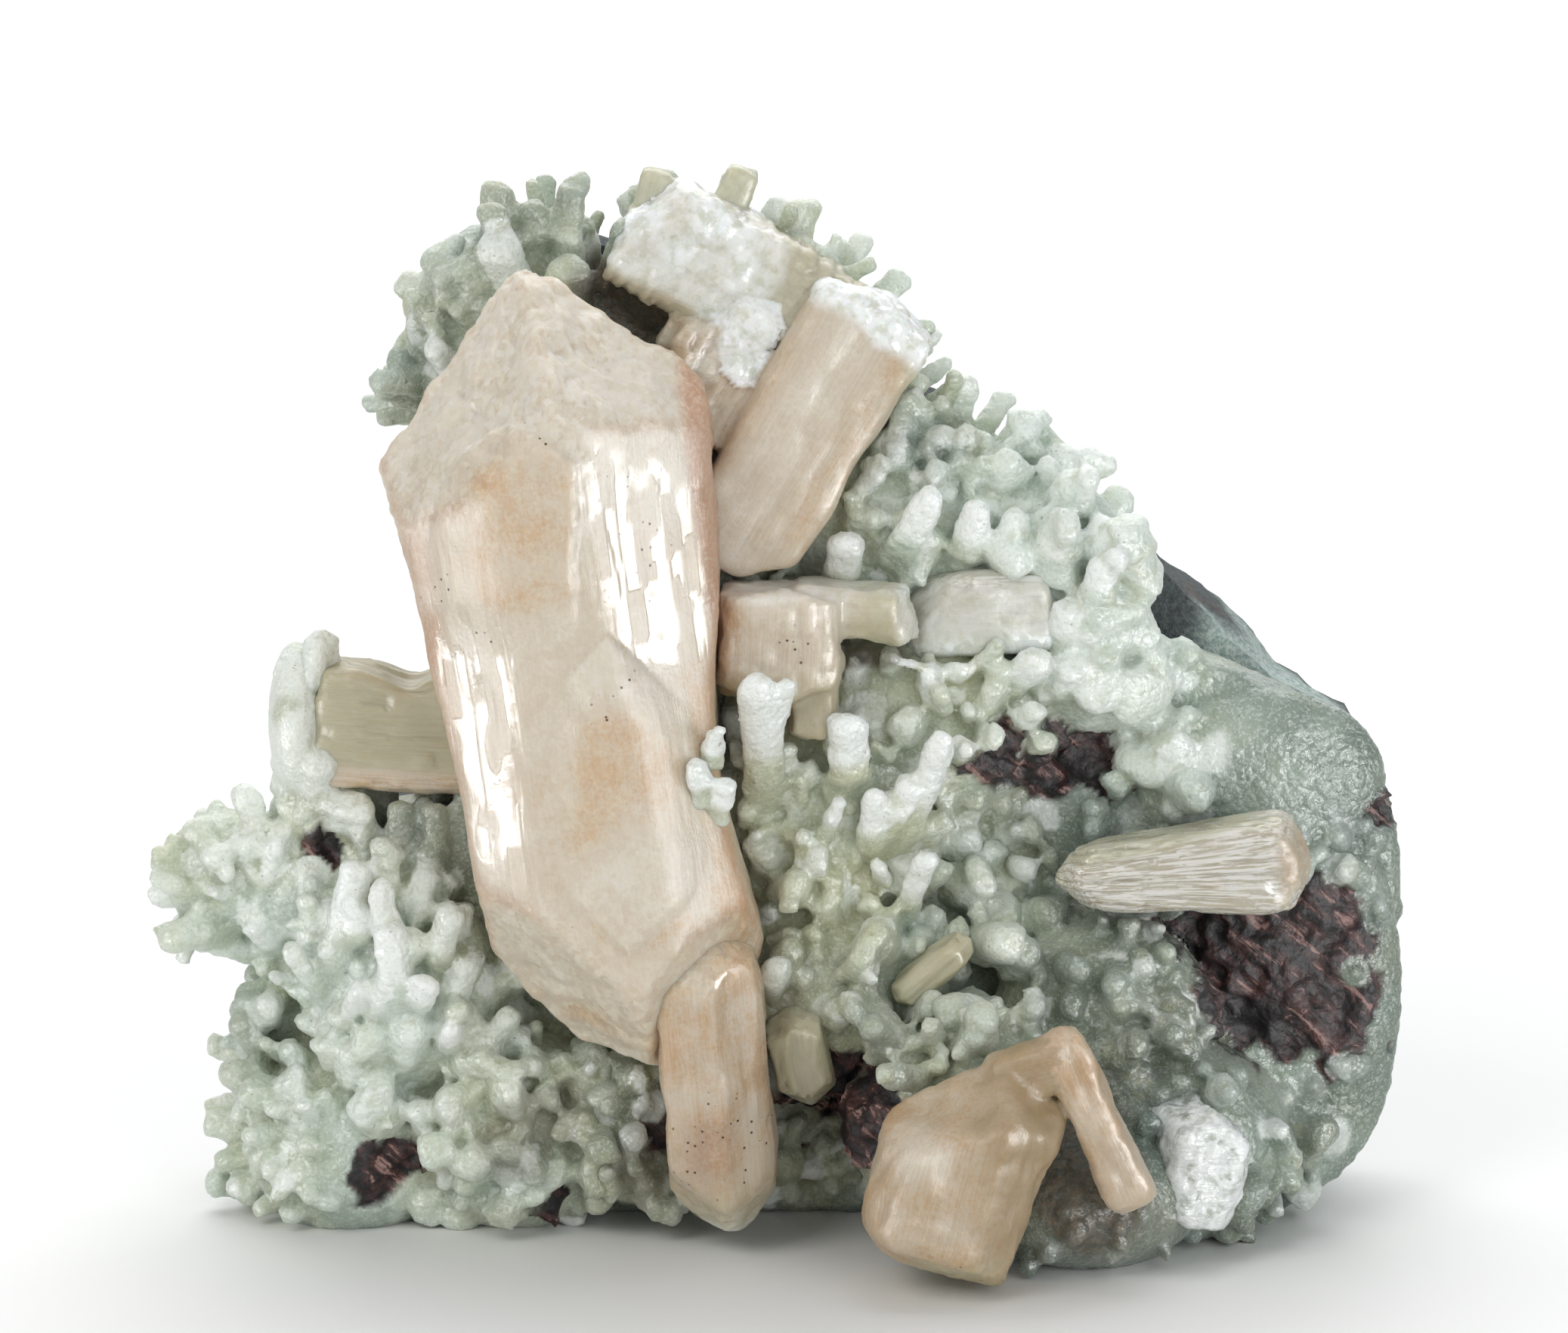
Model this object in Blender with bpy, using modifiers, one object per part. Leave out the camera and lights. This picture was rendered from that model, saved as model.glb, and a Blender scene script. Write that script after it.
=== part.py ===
# Stilbite specimen: peach stilbite crystals on a crust of green chalcedony fingers, on a basalt plate.
# It stands on the flat foot of its plate, with the crystals facing -Y and +Z up.
# Dimensions are in millimetres in the specimen's own frame. The specimen empty moves that frame so
# that the origin is under the middle of the whole piece, and MM turns lengths into metres.

import math
import random

import bmesh
import bpy
from mathutils import Matrix, Vector

MM = 0.001

# Overall places
ORIGIN_SHIFT = (-0.4, 6.1, 0.0)  # from the specimen's own frame to its origin
CRUST_BACK = 8.0  # depth of the plane where the crust ends
TOUCH_GAP = 0.3  # clearance between pieces that touch
BLOCK_REACH = 90.0  # half the side of the block that a crystal is cleaved from
WORLD_REACH = 150.0  # half the side of the blocks that trim the plate
ARCH_REACH = 30.0  # how far the opening under the plate runs each way from y = 0

# Basalt plate, seen from the front as (x, z)
BASALT_OUTLINE = (
    (-50, -4), (-50, 5), (-48, 10), (-49, 16), (-46, 22), (-49, 28), (-54, 30), (-54, 35),
    (-44, 37), (-34, 39), (-26, 46), (-26, 64), (-29, 72), (-33, 80), (-32, 86), (-28, 92),
    (-20, 94), (-11, 93), (-4, 94), (2, 90), (9, 86), (11, 80), (21, 73), (30, 67), (37, 62),
    (42, 58), (48, 52), (55, 48), (58, 43), (60, 34), (60, 24), (57, 13), (53, 5), (49, -4),
)
BASALT_DEPTH = (5.0, 21.0)  # front and back before the rock is broken rough
BASALT_VOXEL = 1.6
BASALT_ROUGHNESS = 3.2
BASALT_GRAIN = 9.0
BASALT_TRIANGLES = 900

# Chalcedony crust, seen from the front as (x, z)
CRUST_OUTLINE = (
    (-52, -4), (-52, 4), (-50, 9), (-52, 15), (-49, 21), (-51, 27), (-56, 29), (-57, 35),
    (-52, 38), (-44, 39), (-34, 41), (-27, 48), (-27, 64), (-31, 73), (-35, 80), (-34, 85),
    (-31, 91), (-27, 95), (-21, 96), (-18, 93), (-12, 96), (-4, 97), (3, 93), (11, 88),
    (12, 80), (18, 77), (25, 73), (31, 66), (33, 60), (37, 56), (43, 54), (51, 50), (56, 47),
    (59, 40), (60, 30), (57, 17), (53, 8), (49, -4),
)
CRUST_FRONT = 1.0  # depth of the crust's front between its swellings
CRUST_SPARE = 2.0  # how far the crust's plate runs past its back before it is cut there
CRUST_VOXEL = 0.9
CRUST_ROUGHNESS = 2.2
CRUST_GRAIN = 6.0
CRUST_TRIANGLES = 1700

# A finger along its length: share of the way and share of its radius
FINGER_PROFILE = ((0.0, 0.9), (0.82, 1.0), (1.0, 0.55))

# Swellings of the crust: centre (x, y, z) and radii
SWELLINGS = (
    ((28, -8, 6), (13, 17, 8)),
    ((17, -8, 12), (11, 14, 11)),
    ((37, -4, 9), (12, 12, 10)),
    ((31, -2, 20), (11, 8, 10)),
    ((50, 1, 22), (10, 4, 20)),
    ((46, 1, 43), (12, 4, 9)),
    ((31, 0, 57), (8, 6, 9)),
    ((25, 0, 65), (8, 5, 8)),
    ((12, 1, 68), (12, 4, 9)),
    ((14, 1, 50), (13, 6, 9)),
    ((4, 1, 40), (11, 7, 13)),
    ((3, -1, 23), (13, 10, 11)),
    ((-13, -2, 11), (10, 9, 9)),
    ((-26, -1, 9), (10, 8, 10)),
    ((-42, 0, 8), (10, 8, 10)),
    ((-36, 0, 24), (11, 8, 10)),
    ((-45, 1, 34), (9, 6, 7)),
    ((-54, 1, 34), (6, 5, 6)),
    ((-27, 1, 86), (9, 6, 11)),
    ((-5, 2, 91), (11, 5, 6)),
    ((-46.4, -4, 50), (2.8, 5.5, 7.5)),
)

# Fingers placed one by one: root, tip and radius
FINGERS = (
    # the tall group right of the large crystal
    ((-2.5, -4, 42), (-2, -14, 55), 2.0),
    ((-3.5, -5, 42), (-4, -14, 49), 1.5),
    ((11, -4, 38), (5, -15, 52), 2.2),
    ((8, -4, 34), (16, -14, 49), 2.1),
    ((8, -5, 36), (8.5, -14, 45), 1.9),
    ((11, -4, 37), (13, -13, 45), 1.7),
    ((-3, -4, 41), (-8, -19, 48), 1.8),
    ((-2, -4, 38), (-6, -18, 44), 1.7),
    ((-3, -4, 44), (-9, -18, 51), 1.5),
    ((1, -4, 34), (2, -13, 41), 1.8),
    ((5, -4, 32), (6, -13, 38), 1.7),
    ((0, -4, 46), (1, -12, 47), 1.6),
    # under the upper prism
    ((8, -1, 70), (11, -7, 75), 1.7),
    ((14, -2, 64), (16, -9, 72), 2.1),
    ((21, -2, 65), (21, -9, 72), 2.1),
    ((6, -1, 66), (6, -7, 69), 1.9),
    ((27, -2, 62), (27, -9, 68), 2.2),
    ((10, -2, 62), (9, -9, 67), 1.8),
    ((26, -3, 51), (24, -11, 56), 2.0),
    # end-on tips in the middle and at the right
    ((18, -2, 40), (18, -11, 42), 2.0),
    ((20, -2, 36), (21, -11, 38), 1.9),
    ((24, -2, 47), (24, -10, 50), 1.8),
    ((38, -1, 42), (39, -9, 45), 2.1),
    ((33, -2, 22), (33, -11, 24), 1.8),
    ((33, -5, 15), (34, -13, 16), 1.7),
    ((38, -3, 15), (39, -11, 20), 1.6),
    ((42, -3, 5), (43, -12, 7), 2.0),
    ((50, -2, 8), (52, -8, 10), 2.0),
    ((19, -4, 28), (22, -13, 31), 2.0),
    ((12, -5, 22), (14, -14, 24), 1.9),
    # ribs and knobs of the left wing
    ((-38, -2, 20), (-38, -10, 33), 2.1),
    ((-34, -2, 19), (-35, -10, 31), 2.0),
    ((-42, -2, 22), (-43, -9, 33), 2.0),
    ((-32, -3, 17), (-32, -11, 22), 1.9),
    ((-30, -3, 14), (-29, -11, 19), 1.9),
    ((-33, -2, 31), (-33, -8, 39), 1.6),
    ((-54, 0, 35), (-56, -4, 40), 1.8),
    ((-56, 1, 33), (-59, -3, 35), 1.8),
    ((-54, 0, 30), (-58, -5, 29), 1.7),
    ((-46, 0, 37), (-47, -6, 42), 1.8),
    ((-49, 0, 11), (-54, -4, 16), 1.7),
    ((-50, 1, 15), (-53, -4, 21), 1.6),
    ((-47, 0, 37), (-47, -5, 47), 2.4),
    ((-46, -6, 50), (-44, -7, 58), 1.7),
    # the worms at the foot
    ((-20, -5, 7), (-17, -11, 5), 1.6),
    ((-16, -5, 8), (-12, -11, 6), 1.5),
    ((-25, -4, 4), (-27, -11, 3), 1.7),
    # the top left cluster and the points on the upper rim
    ((-27, 0, 90), (-26, -3, 101), 2.0),
    ((-21, 0, 92), (-20, -3, 101), 1.9),
    ((-30, 0, 86), (-33, -4, 95), 1.9),
    ((-25, -2, 88), (-26, -8, 97), 1.9),
    ((-22, -1, 86), (-21, -7, 94), 1.8),
    ((-34, 0, 80), (-37, -4, 85), 1.8),
    ((-17, 1, 91), (-15, -4, 98), 1.5),
    ((-12, 2, 94), (-12, 0, 102), 1.7),
    ((-7, 2, 95), (-5, -1, 102), 1.4),
)

# Fields of smaller fingers: middle (x, z), half size (x, z), count, length, radius, direction of growth
FINGER_FIELDS = (
    ((15, 66), (9, 6), 9, 7.5, 2.0, (0.1, -0.8, 0.5)),
    ((30, 56), (5, 8), 6, 6.0, 2.5, (0.2, -0.9, 0.4)),
    ((12, 42), (11, 9), 9, 8.5, 1.9, (0.0, -0.8, 0.6)),
    ((8, 28), (10, 7), 6, 7.0, 1.8, (0.1, -0.9, 0.3)),
    ((31, 30), (6, 4), 4, 6.0, 1.8, (0.1, -0.9, 0.4)),
    ((-39, 25), (8, 9), 11, 8.0, 2.0, (-0.1, -0.7, 0.7)),
    ((-41, 9), (7, 5), 6, 6.0, 1.9, (-0.2, -0.9, 0.2)),
    ((-21, 8), (11, 5), 6, 5.5, 1.8, (0.0, -0.95, 0.0)),
    ((-52, 33), (3, 4), 3, 5.0, 1.8, (-0.5, -0.7, 0.3)),
    ((-27, 85), (6, 7), 6, 6.5, 1.9, (-0.2, -0.6, 0.8)),
    ((44, 12), (6, 7), 4, 5.0, 1.8, (0.2, -0.9, 0.2)),
)
FIELD_SEED = 5592
FIELD_SCATTER = 0.28  # how far a field's fingers stray from its direction
ROOT_DEPTH = 2.5  # how deep a field's fingers start inside the crust

# Dents of the crust: centre and radii
DENTS = (
    ((-12, -3, 89), (4.5, 8, 4)),
    ((-49.5, -2, 24), (3.0, 14, 1.6)),
)
ARCH = (3.0, 5.2, 3.6)  # the opening under the plate: its middle x, radius in front and behind


def scaled(values):
    return Vector(values) * MM


def material(name, colour, roughness):
    finish = bpy.data.materials.new(name)
    finish.use_nodes = True
    shader = finish.node_tree.nodes["Principled BSDF"]
    shader.inputs["Base Color"].default_value = (*colour, 1.0)
    shader.inputs["Roughness"].default_value = roughness
    shader.inputs["Metallic"].default_value = 0.0
    finish.diffuse_color = (*colour, 1.0)
    return finish


def object_of(name, mesh, collection, finish=None, place=None):
    """A mesh object in a collection, carried by the specimen empty."""
    obj = bpy.data.objects.new(name, mesh)
    collection.objects.link(obj)
    obj.parent = specimen
    if place is not None:
        obj.matrix_local = place
    if finish is not None:
        mesh.materials.clear()
        mesh.materials.append(finish)
    return obj


def guide(name, mesh, place=None):
    """A shape that cuts or joins others and is no piece of the specimen."""
    obj = object_of(name, mesh, cutters, place=place)
    obj.hide_render = True
    obj.display_type = "WIRE"
    return obj


def remove(obj):
    bpy.data.objects.remove(obj)


def evaluated_mesh(obj):
    bpy.context.view_layer.update()
    graph = bpy.context.evaluated_depsgraph_get()
    return bpy.data.meshes.new_from_object(obj.evaluated_get(graph), depsgraph=graph)


def boolean(obj, other, operation):
    joint = obj.modifiers.new(operation.title(), "BOOLEAN")
    joint.operation = operation
    joint.object = other
    joint.solver = "EXACT"
    return joint


# Crystals


def side(azimuth, reach, flare=0.0, height=0.0):
    """A long face: reach from the axis at a height, and how much wider the crystal gets per mm up.

    Azimuth 0 faces the crystal's right, 90 its back, 180 its left and 270 its front.
    """
    turn = math.radians(azimuth)
    return (math.cos(turn), math.sin(turn), -flare), reach - flare * height


def roof(azimuth, apex, drop):
    """An end face that slopes down from the apex, by drop for each mm out."""
    turn = math.radians(azimuth)
    return (drop * math.cos(turn), drop * math.sin(turn), 1.0), apex


def sole(azimuth, depth, drop):
    """An end face that slopes up from the lowest point, depth below the crystal's middle."""
    turn = math.radians(azimuth)
    return (drop * math.cos(turn), drop * math.sin(turn), -1.0), depth


def section(width, depth, bevel, flare=0.0, height=0.0):
    """Eight long faces: half width, half depth and the reach of the four bevels between them."""
    faces = [side(azimuth, width, flare, height) for azimuth in (0, 180)]
    faces += [side(azimuth, depth, flare / 3, height) for azimuth in (90, 270)]
    faces += [side(azimuth, bevel, flare * 0.7, height) for azimuth in (45, 135, 225, 315)]
    return faces


def crystal_frame(place, axis, right=(1, 0, 0)):
    """Stands a crystal at a place, its length along axis and its right side towards right."""
    up = Vector(axis).normalized()
    across = Vector(right)
    across = (across - across.dot(up) * up).normalized()
    back = up.cross(across)
    turn = Matrix((across, back, up)).transposed().to_4x4()
    return Matrix.Translation(scaled(place)) @ turn


def cleaved(faces, grow=0.0):
    """A block cut down to the space behind every face, each moved out by grow."""
    block = bmesh.new()
    bmesh.ops.create_cube(block, size=2 * BLOCK_REACH * MM)
    for direction, reach in faces:
        normal = Vector(direction)
        point = normal.normalized() * (reach / normal.length + grow) * MM
        cut = bmesh.ops.bisect_plane(
            block,
            geom=block.verts[:] + block.edges[:] + block.faces[:],
            plane_co=point,
            plane_no=normal,
            dist=1e-7,
            clear_outer=True,
        )
        rim = [item for item in cut["geom_cut"] if isinstance(item, bmesh.types.BMEdge)]
        if rim:
            bmesh.ops.edgeloop_fill(block, edges=rim)
    bmesh.ops.recalc_face_normals(block, faces=block.faces[:])
    mesh = bpy.data.meshes.new("crystal")
    block.to_mesh(mesh)
    block.free()
    return mesh


def crystal(name, finish, lobes):
    """One node from lobes that grew together, with each lobe's clearance among the cutters."""
    body = None
    for number, (frame, faces) in enumerate(lobes):
        if body is None:
            body = object_of(name, cleaved(faces), pieces, finish, frame)
        else:
            lobe = guide(f"{name}_lobe{number}", cleaved(faces), frame)
            boolean(body, lobe, "UNION")
        clearance = guide(f"{name}_room{number}", cleaved(faces, TOUCH_GAP), frame)
        clearances.setdefault(name, []).append(clearance)
    return body


def main_stilbite(finish):
    """The large bow-tie crystal, its front twin, its lower end and the foot that grew with it."""
    axis = (-0.1305, 0, 0.9914)
    frame = crystal_frame((-15.4, -13, 23.2), axis)
    waist = 22.0
    upper = [
        side(0, 11.6, 0.109, waist),
        side(180, 11.6, 0.109, waist),
        side(270, 10.6, 0.050, waist),
        side(90, 10.4, 0.010, waist),
        side(315, 13.2, 0.105, waist),
        side(225, 13.6, 0.105, waist),
        side(45, 13.8, 0.060, waist),
        side(135, 13.8, 0.060, waist),
        roof(312, 71.0, 1.24),
        roof(48, 71.0, 1.24),
        roof(228, 71.0, 1.60),
        roof(132, 71.0, 1.60),
        sole(0, -19.0, 0.0),
    ]
    lower = [
        side(0, 11.6, -0.163, waist),
        side(180, 11.6, 0.0, waist),
        side(270, 10.4, -0.040, waist),
        side(90, 10.4, 0.0, waist),
        side(315, 13.2, -0.120, waist),
        side(225, 13.4, -0.010, waist),
        side(45, 13.8, -0.100, waist),
        side(135, 13.8, 0.0, waist),
        roof(0, 24.0, 0.0),
        sole(225, 7.0, 1.70),
        sole(135, 7.0, 1.70),
        sole(180, 3.4, 0.34),
        sole(315, 12.0, 1.60),
        sole(45, 12.0, 1.60),
    ]
    twin_frame = crystal_frame((-15.1, -20.5, 46.6), (-0.093, 0, 0.996))
    twin = section(5.4, 6.6, 6.7, -0.03)
    twin += [roof(azimuth, 15.1, 1.13) for azimuth in (45, 135, 225, 315)]
    twin += [sole(azimuth, 15.1, 1.05) for azimuth in (45, 135, 225, 315)]
    foot_frame = crystal_frame((-6.3, -15.4, 16.0), (-0.084, -0.249, 0.966))
    foot = section(5.2, 5.4, 6.4)
    foot += [roof(azimuth, 17.0, 0.95) for azimuth in (45, 135, 225, 315)]
    foot += [sole(azimuth, 15.6, 1.35) for azimuth in (45, 135, 225, 315)]
    return crystal(
        "main_stilbite",
        finish,
        ((frame, upper), (frame, lower), (twin_frame, twin), (foot_frame, foot)),
    )


def upper_cluster(finish):
    """The leaning prism, the slab that crosses its top and the small wedge between them."""
    prism_frame = crystal_frame((2.7, -4.0, 77.6), (0.508, 0, 0.862))
    prism = section(6.0, 5.6, 7.3)
    prism += [roof(azimuth, 15.2, 0.28) for azimuth in (45, 135, 225, 315)]
    prism += [sole(180, 14.6, 0.2), sole(0, 15.6, 0.75)]
    slab_frame = crystal_frame((-5.3, -1.6, 92.5), (0.878, 0, -0.479), (0, 0, -1))
    slab = section(5.6, 4.8, 6.7)
    slab += [roof(azimuth, 11.6, 0.35) for azimuth in (45, 135, 225, 315)]
    slab += [sole(225, 11.8, 0.85), sole(135, 11.8, 0.85), sole(0, 11.2, 0.15)]
    wedge_frame = crystal_frame((-7.2, -4.5, 85.4), (-0.95, -0.1, 0.2), (0, 0, 1))
    wedge = section(3.2, 3.0, 3.9)
    wedge += [roof(azimuth, 5.4, 0.7) for azimuth in (45, 135, 225, 315)]
    wedge += [sole(0, 6.0, 0.0)]
    return crystal(
        "upper_stilbite_cluster",
        finish,
        ((prism_frame, prism), (slab_frame, slab), (wedge_frame, wedge)),
    )


def left_bar(finish):
    """The blocky prism that lies behind the large crystal and shows at its left."""
    frame = crystal_frame((-36.5, -3.2, 49.3), (1, 0, -0.06), (0, 0, -1))
    faces = section(5.7, 4.9, 7.0)
    faces += [roof(0, 9.5, 0.1), sole(225, 8.6, 0.15), sole(135, 8.6, 0.15)]
    return crystal("left_stilbite_bar", finish, ((frame, faces),))


def middle_stilbite(finish):
    """The stout block right of the large crystal's waist, with its ledge."""
    block_frame = crystal_frame((-0.4, -8.5, 58.2), (0.05, 0, 1))
    block = section(5.7, 5.6, 7.2)
    block += [roof(225, 5.9, 0.12), roof(315, 5.9, 0.10), roof(90, 6.4, 0.3)]
    block += [sole(azimuth, 6.6, 0.45) for azimuth in (45, 135, 225, 315)]
    ledge_frame = crystal_frame((6.6, -7.4, 60.4), (1, 0, -0.06), (0, 0, -1))
    ledge = section(2.0, 4.4, 4.2)
    ledge += [roof(225, 5.4, 0.5), roof(135, 5.4, 0.5), sole(0, 6.0, 0.0)]
    return crystal("middle_stilbite", finish, ((block_frame, block), (ledge_frame, ledge)))


def buried_stilbite(finish):
    """The pale crystal that the fingers have half covered."""
    frame = crystal_frame((19.2, -3.0, 60.4), (1, 0, 0.04), (0, 0, -1))
    faces = section(3.9, 3.9, 5.0)
    faces += [roof(225, 7.4, 0.3), roof(315, 7.4, 0.3), roof(90, 7.4, 0.3)]
    faces += [sole(225, 8.0, 1.1), sole(315, 9.0, 0.5), sole(90, 8.0, 0.6)]
    return crystal("buried_stilbite", finish, ((frame, faces),))


def right_sheaf(finish):
    """The silky sheaf that lies across the right side, with blunt points at both ends."""
    frame = crystal_frame((38.0, -8.0, 36.3), (0.997, 0, 0.08), (0, 0, -1))
    faces = section(4.1, 3.7, 4.8, 0.015)
    faces += [roof(azimuth, 13.0, 0.85) for azimuth in (45, 135, 225, 315)]
    faces += [sole(azimuth, 12.8, 0.9) for azimuth in (45, 135, 225, 315)]
    return crystal("right_stilbite_sheaf", finish, ((frame, faces),))


def lower_right_stilbite(finish):
    """The stubby fanned crystal at the lower right and the blade that leans on it."""
    stub_frame = crystal_frame((16.6, -26.0, 11.2), (0.26, 0.12, 0.96))
    stub = [
        side(0, 7.3, 0.10),
        side(180, 7.4, 0.08),
        side(270, 7.8, 0.05),
        side(90, 8.0, 0.0),
        side(225, 8.6, 0.08),
        side(315, 8.6, 0.08),
        side(45, 9.4, 0.08),
        side(135, 9.4, 0.08),
        roof(225, 11.6, 1.05),
        roof(135, 11.6, 1.05),
        roof(315, 11.6, 0.95),
        roof(45, 11.6, 0.95),
        sole(0, 9.9, 0.15),
        sole(270, 9.8, 0.30),
        sole(180, 9.9, 0.25),
    ]
    blade_frame = crystal_frame((26.8, -25.6, 17.0), (-0.50, 0.08, 0.86), (0.86, 0, 0.5))
    blade = section(2.7, 3.4, 3.7)
    blade += [roof(azimuth, 9.4, 0.8) for azimuth in (45, 135, 225, 315)]
    blade += [sole(azimuth, 9.8, 0.9) for azimuth in (45, 135, 225, 315)]
    return crystal("lower_right_stilbite", finish, ((stub_frame, stub), (blade_frame, blade)))


def small_blades(finish):
    """The two small blades that stand in the crust under the middle of the specimen."""
    low_frame = crystal_frame((1.6, -9.6, 18.7), (-0.20, -0.25, 0.95))
    low = section(2.7, 3.2, 3.7)
    low += [roof(azimuth, 5.6, 0.7) for azimuth in (45, 135, 225, 315)]
    low += [sole(azimuth, 5.8, 1.0) for azimuth in (45, 135, 225, 315)]
    high_frame = crystal_frame((14.2, -10.6, 27.1), (0.72, -0.2, 0.66), (0.66, 0, -0.72))
    high = section(1.9, 2.6, 2.8)
    high += [roof(azimuth, 5.2, 0.8) for azimuth in (45, 135, 225, 315)]
    high += [sole(azimuth, 5.0, 0.8) for azimuth in (45, 135, 225, 315)]
    return (
        crystal("low_stilbite_blade", finish, ((low_frame, low),)),
        crystal("high_stilbite_blade", finish, ((high_frame, high),)),
    )


def white_crystal(finish):
    """The blocky white crystal at the lower right, with one corner up."""
    frame = crystal_frame((38.8, -15.0, 9.8), (0.18, -0.12, 0.97), (0.9, 0.3, -0.2))
    faces = [
        side(0, 3.9, 0.03),
        side(180, 3.7, -0.02),
        side(262, 5.4, -0.08),
        side(90, 6.0, 0.0),
        side(318, 5.2, 0.08),
        side(215, 5.2, 0.0),
        roof(0, 5.6, 0.75),
        roof(180, 5.6, 0.60),
        roof(270, 6.4, 0.35),
        sole(0, 6.0, 0.25),
        sole(180, 6.0, 0.80),
        sole(270, 6.4, 0.30),
    ]
    return crystal("white_calcite", finish, ((frame, faces),))


# Matrix: the basalt plate and the chalcedony crust


def plate_curve(name, outline, front, back):
    """A flat outline given the thickness between two depths."""
    curve = bpy.data.curves.new(name, "CURVE")
    curve.dimensions = "2D"
    curve.fill_mode = "BOTH"
    curve.extrude = (back - front) / 2 * MM
    spline = curve.splines.new("POLY")
    spline.points.add(len(outline) - 1)
    for point, (x, z) in zip(spline.points, outline):
        point.co = (x * MM, z * MM, 0, 1)
    spline.use_cyclic_u = True
    upright = Matrix.Rotation(math.radians(90), 4, "X")
    place = Matrix.Translation(scaled((0, (front + back) / 2, 0))) @ upright
    return object_of(name, curve, cutters, place=place)


def finger(name, root, tip, radius, collection):
    """A round-tipped finger: a bevelled curve that thins at its tip, made a closed mesh."""
    curve = bpy.data.curves.new(name, "CURVE")
    curve.dimensions = "3D"
    curve.fill_mode = "FULL"
    curve.bevel_depth = radius * MM
    curve.bevel_resolution = 1
    curve.use_fill_caps = True
    spline = curve.splines.new("POLY")
    spline.points.add(len(FINGER_PROFILE) - 1)
    for point, (share, width) in zip(spline.points, FINGER_PROFILE):
        point.co = (*(Vector(root).lerp(Vector(tip), share) * MM), 1)
        point.radius = width
    return gathered(name, [object_of(name, curve, collection)], collection)


def front_of(x, z):
    """Depth of the crust's front at a place seen from the front: the foremost swelling there."""
    depth = CRUST_FRONT
    for (cx, cy, cz), (rx, ry, rz) in SWELLINGS:
        inside = 1 - ((x - cx) / rx) ** 2 - ((z - cz) / rz) ** 2
        if inside > 0:
            depth = min(depth, cy - ry * math.sqrt(inside))
    return depth


def field_fingers():
    """The smaller fingers, scattered over their fields and rooted in the crust."""
    rng = random.Random(FIELD_SEED)
    fingers = []
    for (cx, cz), (wide, high), count, length, radius, direction in FINGER_FIELDS:
        for _ in range(count):
            x = cx + rng.uniform(-wide, wide)
            z = cz + rng.uniform(-high, high)
            stray = Vector([rng.gauss(0, FIELD_SCATTER) for _ in range(3)])
            growth = (Vector(direction) + stray).normalized()
            root = Vector((x, front_of(x, z) + ROOT_DEPTH, z))
            tip = root + growth * length * rng.uniform(0.8, 1.2)
            fingers.append((root, tip, radius * rng.uniform(0.85, 1.15)))
    return fingers


def ellipsoids(shapes):
    """Spheres stretched to their radii, as one mesh."""
    mesh = bmesh.new()
    for centre, radii in shapes:
        stretch = Matrix.Diagonal((*scaled(radii), 1))
        place = Matrix.Translation(scaled(centre)) @ stretch
        bmesh.ops.create_uvsphere(mesh, u_segments=20, v_segments=12, radius=1, matrix=place)
    data = bpy.data.meshes.new("ellipsoids")
    mesh.to_mesh(data)
    mesh.free()
    return data


def gathered(name, sources, collection):
    """The evaluated shapes of several objects in one mesh object, and the sources removed."""
    mesh = bmesh.new()
    for source in sources:
        part = evaluated_mesh(source)
        part.transform(source.matrix_local)
        mesh.from_mesh(part)
        remove(source)
    bmesh.ops.remove_doubles(mesh, verts=mesh.verts[:], dist=1e-7)
    data = bpy.data.meshes.new(name)
    mesh.to_mesh(data)
    mesh.free()
    return object_of(name, data, collection)


def roughened(obj, voxel, strength, grain, triangles):
    """Fuses the shapes of an object, breaks the surface up and thins it to about a count."""
    fuse = obj.modifiers.new("Fuse", "REMESH")
    fuse.mode = "VOXEL"
    fuse.voxel_size = voxel * MM
    texture = bpy.data.textures.new(obj.name, "CLOUDS")
    texture.noise_scale = grain * MM
    texture.noise_depth = 2
    rough = obj.modifiers.new("Rough", "DISPLACE")
    rough.texture = texture
    rough.texture_coords = "LOCAL"
    rough.strength = strength * MM
    rough.mid_level = 0.5
    fine = evaluated_mesh(obj)
    fine.calc_loop_triangles()
    thin = obj.modifiers.new("Thin", "DECIMATE")
    thin.use_collapse_triangulate = True
    thin.ratio = triangles / len(fine.loop_triangles)
    bpy.data.meshes.remove(fine)
    return object_of(obj.name + "_rough", evaluated_mesh(obj), cutters, place=obj.matrix_local)


def half_space(name, low, high):
    """A block between two corners, to trim a plate with."""
    mesh = bmesh.new()
    middle = (Vector(low) + Vector(high)) / 2
    size = Vector(high) - Vector(low)
    place = Matrix.Translation(scaled(middle)) @ Matrix.Diagonal((*scaled(size), 1))
    bmesh.ops.create_cube(mesh, size=1, matrix=place)
    data = bpy.data.meshes.new(name)
    mesh.to_mesh(data)
    mesh.free()
    return guide(name, data)


def arch(name):
    """The round opening under the plate, cut from front to back."""
    mesh = bmesh.new()
    middle, front, behind = ARCH
    lying = Matrix.Rotation(math.radians(90), 4, "X")
    place = Matrix.Translation(scaled((middle, 0, 0))) @ lying
    bmesh.ops.create_cone(
        mesh,
        cap_ends=True,
        segments=14,
        radius1=behind * MM,
        radius2=front * MM,
        depth=2 * ARCH_REACH * MM,
        matrix=place,
    )
    data = bpy.data.meshes.new(name)
    mesh.to_mesh(data)
    mesh.free()
    return guide(name, data)


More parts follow.
